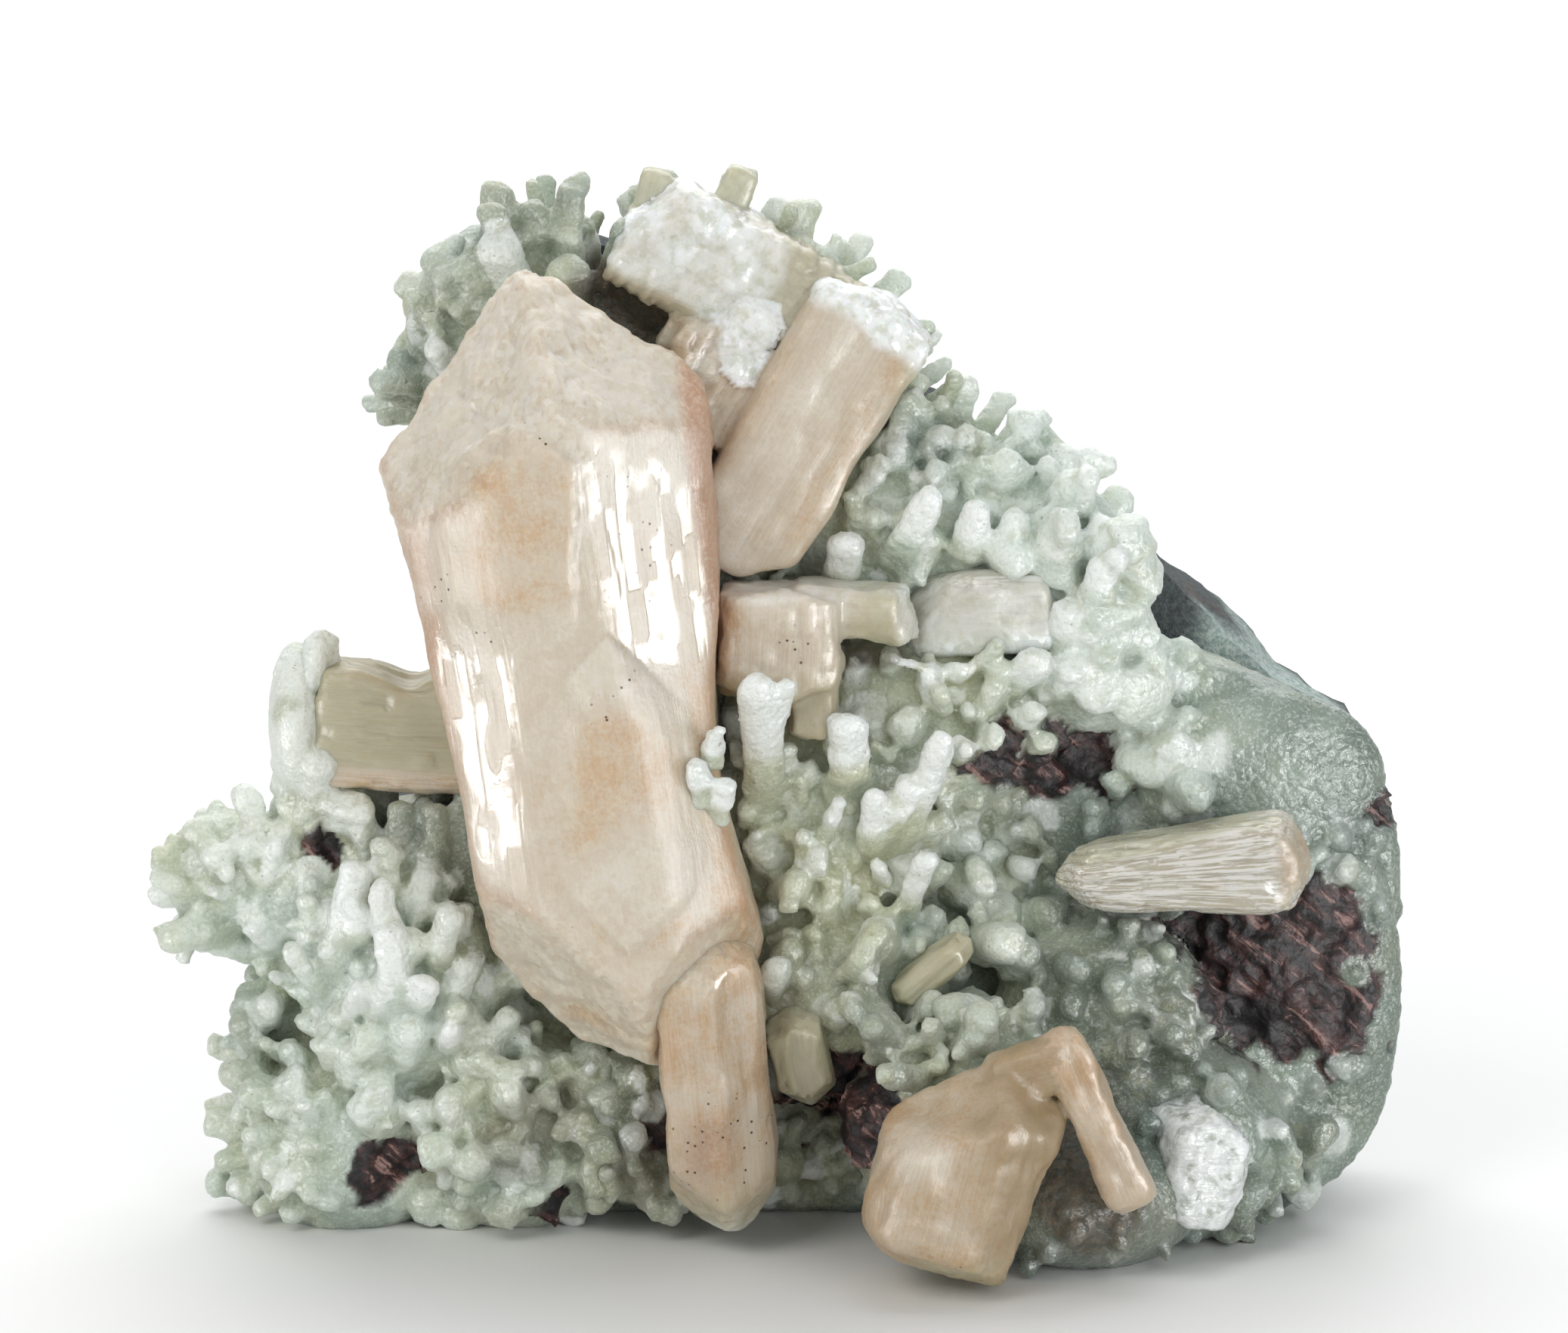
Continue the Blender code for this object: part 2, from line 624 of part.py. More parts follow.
def largest_body(mesh):
    """Leaves only the biggest connected body of a mesh."""
    data = bmesh.new()
    data.from_mesh(mesh)
    waiting = set(data.verts)
    bodies = []
    while waiting:
        edge = [waiting.pop()]
        body = set(edge)
        while edge:
            vertex = edge.pop()
            for link in vertex.link_edges:
                other = link.other_vert(vertex)
                if other in waiting:
                    waiting.discard(other)
                    body.add(other)
                    edge.append(other)
        bodies.append(body)
    bodies.sort(key=len)
    for body in bodies[:-1]:
        bmesh.ops.delete(data, geom=list(body), context="VERTS")
    data.to_mesh(mesh)
    data.free()
    return mesh


def trimmed(obj, cuts):
    """The object's mesh with every cut taken out of it, loose crumbs left out."""
    for cut in cuts:
        boolean(obj, cut, "DIFFERENCE")
    mesh = largest_body(evaluated_mesh(obj))
    remove(obj)
    return mesh


def basalt_matrix(finish):
    plate = plate_curve("plate", BASALT_OUTLINE, *BASALT_DEPTH)
    rock = gathered("rock", [plate], cutters)
    rough = roughened(rock, BASALT_VOXEL, BASALT_ROUGHNESS, BASALT_GRAIN, BASALT_TRIANGLES)
    remove(rock)
    front = CRUST_BACK + TOUCH_GAP
    far = WORLD_REACH
    cuts = [
        half_space("basalt_front", (-far, -far, -far), (far, front, far)),
        half_space("basalt_floor", (-far, -far, -far), (far, far, 0)),
        arch("basalt_arch"),
    ]
    return object_of("basalt_matrix", trimmed(rough, cuts), pieces, finish)


def chalcedony_crust(finish):
    plate = plate_curve("sheet", CRUST_OUTLINE, CRUST_FRONT, CRUST_BACK + CRUST_SPARE)
    swellings = object_of("swellings", ellipsoids(SWELLINGS), cutters)
    growth = gathered("growth", [plate, swellings], cutters)
    rough = roughened(growth, CRUST_VOXEL, CRUST_ROUGHNESS, CRUST_GRAIN, CRUST_TRIANGLES)
    remove(growth)
    fingers = bpy.data.collections.new("fingers")
    cutters.children.link(fingers)
    for number, (root, tip, radius) in enumerate(list(FINGERS) + field_fingers()):
        finger(f"finger{number}", root, tip, radius, fingers)
    joined = rough.modifiers.new("Fingers", "BOOLEAN")
    joined.operation = "UNION"
    joined.operand_type = "COLLECTION"
    joined.collection = fingers
    joined.solver = "EXACT"
    far = WORLD_REACH
    cuts = [
        half_space("crust_back", (-far, CRUST_BACK, -far), (far, far, far)),
        half_space("crust_floor", (-far, -far, -far), (far, far, 0)),
        arch("crust_arch"),
        guide("dents", ellipsoids(DENTS)),
    ]
    for rooms in clearances.values():
        cuts += rooms
    crust = trimmed(rough, cuts)
    for solid in list(fingers.objects):
        remove(solid)
    return object_of("chalcedony_crust", crust, pieces, finish)


def clear_of(obj, neighbour):
    """Cuts a crystal back where a bigger neighbour stands, with the usual gap."""
    for room in clearances[neighbour]:
        boolean(obj, room, "DIFFERENCE")


for leftover in list(bpy.data.objects):
    bpy.data.objects.remove(leftover)

pieces = bpy.data.collections.new("stilbite_specimen")
cutters = bpy.data.collections.new("cutters")
bpy.context.scene.collection.children.link(pieces)
bpy.context.scene.collection.children.link(cutters)
specimen = bpy.data.objects.new("specimen", None)
specimen.location = scaled(ORIGIN_SHIFT)
pieces.objects.link(specimen)
clearances = {}

stilbite = material("stilbite_peach", (0.78, 0.56, 0.40), 0.22)
silky = material("stilbite_silky", (0.80, 0.70, 0.60), 0.30)
chalcedony = material("chalcedony_green", (0.56, 0.66, 0.55), 0.35)
basalt = material("basalt_dark", (0.05, 0.07, 0.08), 0.75)
calcite = material("calcite_white", (0.86, 0.87, 0.86), 0.25)

main_stilbite(stilbite)
cluster = upper_cluster(stilbite)
bar = left_bar(stilbite)
block = middle_stilbite(stilbite)
buried = buried_stilbite(silky)
right_sheaf(silky)
lower_right_stilbite(stilbite)
low_blade, high_blade = small_blades(stilbite)
white_crystal(calcite)
for neighbour in (cluster, bar, block, low_blade):
    clear_of(neighbour, "main_stilbite")
clear_of(high_blade, "lower_right_stilbite")
clear_of(block, "upper_stilbite_cluster")
clear_of(buried, "middle_stilbite")
basalt_matrix(basalt)
chalcedony_crust(chalcedony)
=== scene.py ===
import math
import random

import bpy
import numpy as np
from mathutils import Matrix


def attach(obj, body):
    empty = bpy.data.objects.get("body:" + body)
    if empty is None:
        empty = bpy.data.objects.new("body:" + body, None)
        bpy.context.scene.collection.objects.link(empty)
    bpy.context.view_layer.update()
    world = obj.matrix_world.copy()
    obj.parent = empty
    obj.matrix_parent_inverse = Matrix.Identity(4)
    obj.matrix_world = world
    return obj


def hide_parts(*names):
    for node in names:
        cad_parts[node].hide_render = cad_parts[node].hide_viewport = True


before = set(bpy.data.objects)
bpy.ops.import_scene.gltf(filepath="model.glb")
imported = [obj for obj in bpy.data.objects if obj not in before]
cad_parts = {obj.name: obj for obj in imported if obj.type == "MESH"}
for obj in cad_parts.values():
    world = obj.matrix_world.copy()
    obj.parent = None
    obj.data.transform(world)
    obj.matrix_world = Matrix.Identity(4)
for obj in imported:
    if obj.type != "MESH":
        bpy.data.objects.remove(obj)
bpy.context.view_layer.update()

# Lengths are millimetres in the specimen's own frame: the crystals face -Y and +Z is up.
# The origin's shift and the turn to metres come when a piece is made.
mm = 0.001
originShift = np.array((-0.4, 6.1, 0.0))


# Random numbers and noise

def hashed(seed, *cells):
    # A repeatable random share from 0 to 1 for each set of whole numbers: multiplied, mixed and folded
    start = (seed * 374761393 + 668265263) % 2**32
    mixed = np.full(cells[0].shape, start, np.uint32)
    for factor, cell in zip((73856093, 19349663, 83492791), cells):
        mixed ^= cell.astype(np.int64).astype(np.uint32) * np.uint32(factor)
        mixed ^= mixed >> np.uint32(15)
        mixed *= np.uint32(739982445)
        mixed ^= mixed >> np.uint32(12)
    return mixed / 2.0**32


def smoothNoise(points, grain, seed):
    # From -1 to 1: random values at the corners of cubes, blended by a smooth step between the corners
    placed = points / grain
    cell = np.floor(placed)
    part = placed - cell
    part = part * part * (3 - 2 * part)
    total = np.zeros(len(points))
    for corner in np.ndindex(2, 2, 2):
        weight = np.prod(np.where(corner, part, 1 - part), axis=1)
        total += weight * hashed(seed, *(cell + corner).T)
    return 2 * total - 1


def layeredNoise(points, grain, seed, layers=3):
    # Smooth noise plus itself at half the grain and half the strength, as often as there are layers
    total = np.zeros(len(points))
    for layer in range(layers):
        total += smoothNoise(points, grain / 2**layer, seed + layer) / 2**layer
    return total


def nearestSeed(points, grain, seed):
    # One seed lies in every cube: the distance to the nearest in grains, its random share and the way to it
    placed = points / grain
    cell = np.floor(placed)
    best = np.full(len(points), 9.0)
    share = np.zeros(len(points))
    apart = np.zeros((len(points), 3))
    for step in np.ndindex(3, 3, 3):
        near = cell + step - 1
        spot = near + np.stack([hashed(seed + axis, *near.T) for axis in range(3)], axis=1)
        away = placed - spot
        distance = np.linalg.norm(away, axis=1)
        closer = distance < best
        best = np.where(closer, distance, best)
        share = np.where(closer, hashed(seed + 3, *near.T), share)
        apart = np.where(closer[:, None], away, apart)
    return best, share, apart


def smoothStep(values, low, high):
    part = np.clip((values - low) / (high - low), 0, 1)
    return part * part * (3 - 2 * part)


def unit(vectors):
    return vectors / np.maximum(np.linalg.norm(vectors, axis=-1, keepdims=True), 1e-12)


# Meshes

def meshOf(name, points, quads, triangles):
    mesh = bpy.data.meshes.new(name)
    corners = np.concatenate([quads.ravel(), triangles.ravel()]).astype(np.int32)
    starts = np.concatenate([
        np.arange(len(quads)) * 4,
        len(quads) * 4 + np.arange(len(triangles)) * 3,
    ]).astype(np.int32)
    mesh.vertices.add(len(points))
    mesh.vertices.foreach_set("co", ((points + originShift) * mm).astype(np.float32).ravel())
    mesh.loops.add(len(corners))
    mesh.loops.foreach_set("vertex_index", corners)
    mesh.polygons.add(len(starts))
    mesh.polygons.foreach_set("loop_start", starts)
    mesh.update(calc_edges=True)
    mesh.shade_smooth()
    return mesh


def makePiece(name, surface, finish, node, fields):
    # A finished piece of the specimen: its surface, its finish, the node it stands for, its painted fields
    points, quads, triangles = surface
    mesh = meshOf(name, points, quads, triangles)
    mesh.materials.append(finish)
    for field, values in fields.items():
        kind = "FLOAT_VECTOR" if values.ndim == 2 else "FLOAT"
        layer = mesh.attributes.new(field, kind, "POINT")
        layer.data.foreach_set(
            "vector" if values.ndim == 2 else "value", values.astype(np.float32).ravel()
        )
    piece = bpy.data.objects.new(name, mesh)
    bpy.context.scene.collection.objects.link(piece)
    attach(piece, "root")
    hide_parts(node)
    print(name, "made with", 2 * len(quads) + len(triangles), "triangles")
    return piece


def closedRings(rings):
    # Rings of points, one above the other, closed by a fan at each end
    count, sides = rings.shape[:2]
    points = np.vstack([rings.reshape(-1, 3), rings[0].mean(axis=0), rings[-1].mean(axis=0)])
    row, column = np.meshgrid(np.arange(count - 1), np.arange(sides), indexing="ij")
    following = (column + 1) % sides
    quads = np.stack([
        row * sides + column,
        row * sides + following,
        (row + 1) * sides + following,
        (row + 1) * sides + column,
    ], axis=-1).reshape(-1, 4)
    side = np.arange(sides)
    following = (side + 1) % sides
    last = (count - 1) * sides
    low = np.stack([np.full(sides, count * sides), following, side], axis=1)
    high = np.stack([np.full(sides, count * sides + 1), last + side, last + following], axis=1)
    return points, quads, np.vstack([low, high])


def joined(surfaces):
    # Several surfaces as one set of points and faces
    points, quads, triangles, count = [], [], [], 0
    for somePoints, someQuads, someTriangles in surfaces:
        points.append(somePoints)
        quads.append(someQuads + count)
        triangles.append(someTriangles + count)
        count += len(somePoints)
    return np.vstack(points), np.vstack(quads), np.vstack(triangles)


def fused(surfaces, voxel, rounds):
    # Closed shells grown into one skin, smoothed a few times: the points, faces and outward directions
    mesh = meshOf("growth", *joined(surfaces))
    growth = bpy.data.objects.new("growth", mesh)
    bpy.context.scene.collection.objects.link(growth)
    skin = growth.modifiers.new("skin", "REMESH")
    skin.mode = "VOXEL"
    skin.voxel_size = voxel * mm
    soft = growth.modifiers.new("soft", "SMOOTH")
    soft.iterations = rounds
    graph = bpy.context.evaluated_depsgraph_get()
    made = bpy.data.meshes.new_from_object(growth.evaluated_get(graph), depsgraph=graph)
    points = np.empty(len(made.vertices) * 3, np.float32)
    made.vertices.foreach_get("co", points)
    outward = np.empty(len(made.vertices) * 3, np.float32)
    made.vertex_normals.foreach_get("vector", outward)
    corners = np.empty(len(made.loops), np.int32)
    made.loops.foreach_get("vertex_index", corners)
    points = points.reshape(-1, 3).astype(float) / mm - originShift
    bpy.data.objects.remove(growth)
    bpy.data.meshes.remove(made)
    bpy.data.meshes.remove(mesh)
    return points, corners.reshape(-1, 4), outward.reshape(-1, 3).astype(float)


def bulge(points, quads, outward, rounds):
    # How far each point stands out from the mean of its neighbours, in tenths of a millimetre, smoothed
    first = quads.ravel()
    second = np.roll(quads, -1, axis=1).ravel()
    starts, ends = np.concatenate([first, second]), np.concatenate([second, first])
    degree = np.bincount(starts, minlength=len(points))
    means = [np.bincount(starts, points[ends, axis], len(points)) / degree for axis in range(3)]
    amount = 10 * np.einsum("ij,ij->i", points - np.stack(means, axis=1), outward)
    for _ in range(rounds):
        amount = 0.4 * amount + 0.6 * np.bincount(starts, amount[ends], len(points)) / degree
    return amount


# Shader helpers

def tint(colour):
    # A display colour, red, green and blue from 0 to 255, as the light that a shader takes
    shares = np.array(colour) / 255
    light = np.where(shares < 0.04045, shares / 12.92, ((shares + 0.055) / 1.055) ** 2.4)
    return (*light, 1.0)


def plug(tree, socket, value):
    if isinstance(value, bpy.types.NodeSocket):
        tree.links.new(value, socket)
    else:
        socket.default_value = value


def shaderNode(tree, kind, inputs=None, **settings):
    made = tree.nodes.new("ShaderNode" + kind)
    for key, value in settings.items():
        setattr(made, key, value)
    for key, value in (inputs or {}).items():
        plug(tree, made.inputs[key], value)
    return made


def mixed(tree, share, first, second, mode="MIX"):
    made = shaderNode(tree, "Mix", data_type="RGBA", blend_type=mode)
    for index, value in ((0, share), (6, first), (7, second)):
        plug(tree, made.inputs[index], value)
    return made.outputs[2]


def spread(tree, value, low, high, out=(0.0, 1.0)):
    # The value from low to high as a smooth step from the first to the second end of out
    inputs = {"Value": value, "From Min": low, "From Max": high, "To Min": out[0], "To Max": out[1]}
    return shaderNode(tree, "MapRange", inputs, interpolation_type="SMOOTHSTEP").outputs[0]


def maths(tree, operation, first, second):
    made = shaderNode(tree, "Math", operation=operation)
    plug(tree, made.inputs[0], first)
    plug(tree, made.inputs[1], second)
    return made.outputs[0]


def times(tree, first, second):
    return maths(tree, "MULTIPLY", first, second)


def plus(tree, first, second):
    return maths(tree, "ADD", first, second)


def painted(tree, name, output="Fac"):
    # A field that was painted on the points
    return shaderNode(tree, "Attribute", attribute_name=name).outputs[output]


def inMillimetres(tree):
    place = shaderNode(tree, "TexCoord").outputs["Object"]
    return shaderNode(tree, "Mapping", {"Vector": place, "Scale": (1000, 1000, 1000)}).outputs[0]


def grainNoise(tree, place, scale, detail=3.0, stretch=None):
    if stretch:
        place = shaderNode(tree, "Mapping", {"Vector": place, "Scale": stretch}).outputs[0]
    inputs = {"Vector": place, "Scale": scale, "Detail": detail, "Roughness": 0.6}
    return shaderNode(tree, "TexNoise", inputs).outputs[0]


def tiltedFacets(tree, place, cells):
    # A height that makes each cell a flat facet with a lean of its own
    off = shaderNode(tree, "VectorMath", {0: place, 1: cells.outputs["Position"]}, operation="SUBTRACT")
    lean = shaderNode(
        tree, "VectorMath", {0: cells.outputs["Color"], 1: (0.5, 0.5, 0.5)}, operation="SUBTRACT"
    )
    inputs = {0: off.outputs[0], 1: lean.outputs[0]}
    return shaderNode(tree, "VectorMath", inputs, operation="DOT_PRODUCT").outputs["Value"]


def newFinish(name):
    finish = bpy.data.materials.new(name)
    finish.use_nodes = True
    tree = finish.node_tree
    return finish, tree, tree.nodes["Principled BSDF"]


def bumped(tree, shader, height, look):
    # The fine grain that is too small to be shape
    inputs = {"Height": height, "Distance": look["bumpReach"], "Strength": look["bumpStrength"]}
    tree.links.new(shaderNode(tree, "Bump", inputs).outputs[0], shader.inputs["Normal"])


def translucent(shader, look, radius):
    shader.inputs["Subsurface Weight"].default_value = look["translucence"]
    shader.inputs["Subsurface Radius"].default_value = radius
    shader.inputs["Subsurface Scale"].default_value = look["translucenceReach"]


# Finishes

chalcedonyLook = {
    "recessShadeAndSpeckCool": (158, 173, 156),
    "recessShadeAndRingWarm": (171, 171, 136),
    "dimCool": (98, 113, 103),
    "dimWarm": (120, 122, 96),
    "bodyCool": (198, 210, 198),
    "bodyWarm": (200, 202, 170),
    "frost": (240, 244, 239),
    "oxideDark": (14, 7, 9),
    "oxide": (74, 46, 43),
    "oxidePaintedGlint": (168, 132, 124),
    "shadow": (60, 74, 62),
    "speck": (104, 98, 80),
    "hollowDark": (62, 54, 46),
    "hollowLight": (112, 100, 84),
    "translucence": 0.25,
    "translucenceReach": 0.0034,
    "bloom": 0.25,
    "bumpReach": 0.00024,
    "bumpStrength": 0.7,
    "strandLean": -40,
}


def chalcedonyFinish():
    # Waxy stone, darker where it lies deep (painted shade in its recesses) and whiter at the fingers' tips,
    # with rough brown oxide patches
    look = chalcedonyLook
    finish, tree, shader = newFinish("chalcedony")
    place = inMillimetres(tree)
    broad = grainNoise(tree, place, 0.16, 2.0)
    fine = grainNoise(tree, place, 1.1, 3.0)
    grit = grainNoise(tree, place, 3.2, 1.0)
    warm = plus(tree, painted(tree, "warm"), spread(tree, broad, 0.3, 0.7, (-0.2, 0.2)))
    bright = painted(tree, "bright")
    dim = mixed(tree, warm, tint(look["dimCool"]), tint(look["dimWarm"]))
    # Painted shade: the deep colour is for recesses, where shade falls. Outside the white zones it is
    # darker still, half shadow
    deep = mixed(tree, warm, tint(look["recessShadeAndSpeckCool"]), tint(look["recessShadeAndRingWarm"]))
    deep = mixed(tree, bright, mixed(tree, 0.5, deep, tint(look["shadow"])), deep)
    body = mixed(tree, warm, tint(look["bodyCool"]), tint(look["bodyWarm"]))
    body = mixed(tree, bright, dim, body)
    # outward picks the lighter body colour where the crust stands out and the painted shade in its recesses
    colour = mixed(tree, painted(tree, "outward"), deep, body)
    frost = times(tree, painted(tree, "frost"), spread(tree, fine, 0.25, 0.5, (0.75, 1.0)))
    colour = mixed(tree, frost, colour, tint(look["frost"]))
    pale = spread(tree, grit, 0.52, 0.64, (0.0, 0.22))
    colour = mixed(tree, pale, colour, tint(look["frost"]))
    dark = spread(tree, grit, 0.46, 0.36, (0.0, 0.16))
    colour = mixed(tree, dark, colour, tint(look["recessShadeAndSpeckCool"]))
    ring = times(tree, painted(tree, "rings"), 0.35)
    colour = mixed(tree, ring, colour, tint(look["recessShadeAndRingWarm"]))
    speck = spread(tree, grainNoise(tree, place, 1.7, 2.0), 0.70, 0.74, (0.0, 0.5))
    colour = mixed(tree, speck, colour, tint(look["speck"]))
    lean = (0, math.radians(look["strandLean"]), 0)
    turned = shaderNode(tree, "Mapping", {"Vector": place, "Rotation": lean}).outputs[0]
    strand = grainNoise(tree, turned, 0.7, 4.0, (0.16, 0.8, 1.1))
    clotted = grainNoise(tree, place, 0.5, 3.0)
    rust = mixed(tree, spread(tree, strand, 0.40, 0.58), tint(look["oxideDark"]), tint(look["oxide"]))
    rust = mixed(tree, spread(tree, clotted, 0.52, 0.42, (0.0, 0.75)), rust, tint(look["oxideDark"]))
    # Painted glints: pinkish light streaks along the oxide's fibres
    rust = mixed(tree, spread(tree, strand, 0.57, 0.64, (0.0, 0.8)), rust, tint(look["oxidePaintedGlint"]))
    # Grey-brown hollows: partly their own colour, partly painted shade in the recesses
    hollowShade = times(tree, painted(tree, "hollowShade"), spread(tree, fine, 0.3, 0.7, (0.7, 1.0)))
    hollowShadeColour = mixed(
        tree, spread(tree, fine, 0.35, 0.65), tint(look["hollowDark"]), tint(look["hollowLight"])
    )
    colour = mixed(tree, hollowShade, colour, hollowShadeColour)
    oxide = painted(tree, "oxide")
    colour = mixed(tree, oxide, colour, rust)
    tree.links.new(colour, shader.inputs["Base Color"])
    rough = maths(tree, "MAXIMUM", spread(tree, fine, 0.3, 0.7, (0.34, 0.55)), times(tree, oxide, 0.7))
    tree.links.new(rough, shader.inputs["Roughness"])
    weight = spread(tree, oxide, 0.0, 0.6, (look["translucence"], 0.0))
    tree.links.new(weight, shader.inputs["Subsurface Weight"])
    shader.inputs["Subsurface Radius"].default_value = (1.0, 1.05, 0.9)
    shader.inputs["Subsurface Scale"].default_value = look["translucenceReach"]
    tree.links.new(spread(tree, oxide, 0.0, 0.5, (look["bloom"], 0.0)), shader.inputs["Sheen Weight"])
    shader.inputs["Sheen Roughness"].default_value = 0.4
    pearls = shaderNode(tree, "TexVoronoi", {"Vector": place, "Scale": 1.35}).outputs["Distance"]
    height = plus(tree, fine, times(tree, grit, 0.4))
    height = maths(tree, "SUBTRACT", height, times(tree, pearls, 0.9))
    bumped(tree, shader, height, look)
    return finish


stilbiteLook = {
    "pale": (214, 205, 189),
    "cream": (204, 191, 171),
    "orange": (197, 165, 129),
    "pearlSheen": (234, 228, 220),
    "rust": (176, 118, 78),
    "green": (178, 182, 150),
    "tan": (148, 128, 92),
    "speck": (84, 58, 40),
    "druse": (240, 243, 242),
    "druseShade": (212, 216, 205),
    "grainAndFacetShade": (170, 160, 146),
    "grainAndFacetLight": (255, 255, 255),
    "grains": 1.5,
    "translucence": 0.45,
    "translucenceReach": 0.003,
    "dullness": 0.46,
    "sparkle": 0.22,
    "bumpReach": 0.00018,
    "bumpStrength": 0.5,
}


def stilbiteFinish(name, colours, gloss):
    # Waxy crystal: pale, cream and orange zones, faint streaks along it, brown specks, a sugary white coat
    # Painted light: a pearl sheen painted as colour along the fibres, partly their own pale tone
    look = stilbiteLook | colours
    finish, tree, shader = newFinish(name)
    place = inMillimetres(tree)
    along = painted(tree, "crystalPlace", "Vector")
    zone = grainNoise(tree, place, 0.22, 4.0)
    fine = grainNoise(tree, place, 2.4, 3.0)
    streak = grainNoise(tree, along, 1.0, 4.0, (1.0, 1.0, 0.09))
    fibres = grainNoise(tree, along, 1.0, 3.0, (4.0, 4.0, 0.12))
    warmth = plus(tree, painted(tree, "warmth"), spread(tree, zone, 0.3, 0.7, (-0.16, 0.16)))
    warmth = plus(tree, warmth, spread(tree, fine, 0.3, 0.7, (-0.12, 0.12)))
    warmth = plus(tree, warmth, spread(tree, streak, 0.3, 0.7, (0.04, -0.04)))
    colour = mixed(tree, spread(tree, warmth, 0.0, 0.5), tint(look["pale"]), tint(look["cream"]))
    colour = mixed(tree, spread(tree, warmth, 0.5, 1.05), colour, tint(look["orange"]))
    # Painted sheen: a pearly colour along the fibres, partly their own pale colour
    silkAndSheen = times(tree, painted(tree, "silkAndSheen"), spread(tree, fibres, 0.42, 0.58))
    colour = mixed(tree, silkAndSheen, colour, tint(look["pearlSheen"]))
    rust = times(tree, painted(tree, "rust"), spread(tree, fine, 0.25, 0.6, (0.5, 0.9)))
    colour = mixed(tree, rust, colour, tint(look["rust"]))
    colour = mixed(tree, painted(tree, "green"), colour, tint(look["green"]))
    colour = mixed(tree, painted(tree, "tan"), colour, tint(look["tan"]))
    dots = shaderNode(tree, "TexVoronoi", {"Vector": place, "Scale": look["grains"]})
    chosen = spread(
        tree, shaderNode(tree, "SeparateColor", {0: dots.outputs["Color"]}).outputs[0], 0.70, 0.72
    )
    dot = times(tree, spread(tree, dots.outputs["Distance"], 0.26, 0.14), chosen)
    dot = times(tree, dot, painted(tree, "specks"))
    colour = mixed(tree, dot, colour, tint(look["speck"]))
    druse = painted(tree, "druse")
    clump = grainNoise(tree, place, 0.7, 4.0)
    coat = mixed(tree, spread(tree, clump, 0.36, 0.56), tint(look["druseShade"]), tint(look["druse"]))
    colour = mixed(tree, druse, colour, coat)
    facet = shaderNode(tree, "TexVoronoi", {"Vector": place, "Scale": look["grains"]})
    shade = shaderNode(tree, "SeparateColor", {0: facet.outputs["Color"]}).outputs[1]
    grainy = times(tree, maths(tree, "MAXIMUM", painted(tree, "sugar"), druse), 0.16)
    # Painted light and shade: each facet of the sugary coat takes a random tone, lightest in the cells that
    # glint
    grains = mixed(tree, shade, tint(look["grainAndFacetShade"]), tint(look["grainAndFacetLight"]))
    colour = mixed(tree, grainy, colour, grains, "OVERLAY")
    tree.links.new(colour, shader.inputs["Base Color"])
    shiny = times(tree, painted(tree, "gloss"), spread(tree, fine, 0.30, 0.42, (0.6, 1.0)))
    rough = shaderNode(tree, "Mix", {0: shiny, 2: look["dullness"], 3: gloss}, data_type="FLOAT").outputs[0]
    sugar = maths(tree, "MAXIMUM", times(tree, painted(tree, "sugar"), 0.36), druse)
    glint = times(tree, maths(tree, "GREATER_THAN", shade, 0.6), sugar)
    rough = maths(tree, "SUBTRACT", rough, times(tree, glint, look["sparkle"]))
    tree.links.new(rough, shader.inputs["Roughness"])
    shader.inputs["IOR"].default_value = 1.52
    translucent(shader, look, (1.0, 0.66, 0.42))
    sugary = times(tree, tiltedFacets(tree, place, facet), times(tree, sugar, 6.0))
    height = plus(tree, times(tree, fibres, 0.4), times(tree, fine, 0.5))
    height = times(tree, height, spread(tree, shiny, 0.2, 0.8, (1.0, 0.25)))
    height = plus(tree, height, sugary)
    bumped(tree, shader, height, look)
    return finish


basaltLook = {
    "dark": (38, 46, 50),
    "light": (74, 84, 84),
    "brown": (96, 84, 72),
    "grit": (150, 160, 150),
    "stain": (162, 186, 176),
    "stainPale": (214, 226, 221),
    "roughness": 0.72,
    "bumpReach": 0.0004,
    "bumpStrength": 0.8,
}


def basaltFinish():
    # Dark rock with brown and pale grains, and a pale green stain where the crust wraps round its edge
    look = basaltLook
    finish, tree, shader = newFinish("basalt")
    place = inMillimetres(tree)
    broad = grainNoise(tree, place, 0.12, 3.0)
    fine = grainNoise(tree, place, 1.6, 4.0)
    grit = grainNoise(tree, place, 5.0, 2.0)
    colour = mixed(tree, spread(tree, fine, 0.35, 0.65), tint(look["dark"]), tint(look["light"]))
    colour = mixed(tree, spread(tree, broad, 0.55, 0.68, (0.0, 0.6)), colour, tint(look["brown"]))
    colour = mixed(tree, spread(tree, grit, 0.64, 0.70, (0.0, 0.5)), colour, tint(look["grit"]))
    stain = mixed(tree, spread(tree, fine, 0.4, 0.6), tint(look["stain"]), tint(look["stainPale"]))
    colour = mixed(tree, painted(tree, "green"), colour, stain)
    tree.links.new(colour, shader.inputs["Base Color"])
    shader.inputs["Roughness"].default_value = look["roughness"]
    bumped(tree, shader, plus(tree, fine, grit), look)
    return finish


calciteLook = {
    "shade": (186, 194, 184),
    "white": (240, 243, 241),
    "scratch": (206, 208, 190),
    "roughness": 0.25,
    "translucence": 0.35,
    "translucenceReach": 0.0015,
    "facets": 1.1,
    "facetTilt": 3.0,
    "bumpReach": 0.0003,
    "bumpStrength": 0.7,
}


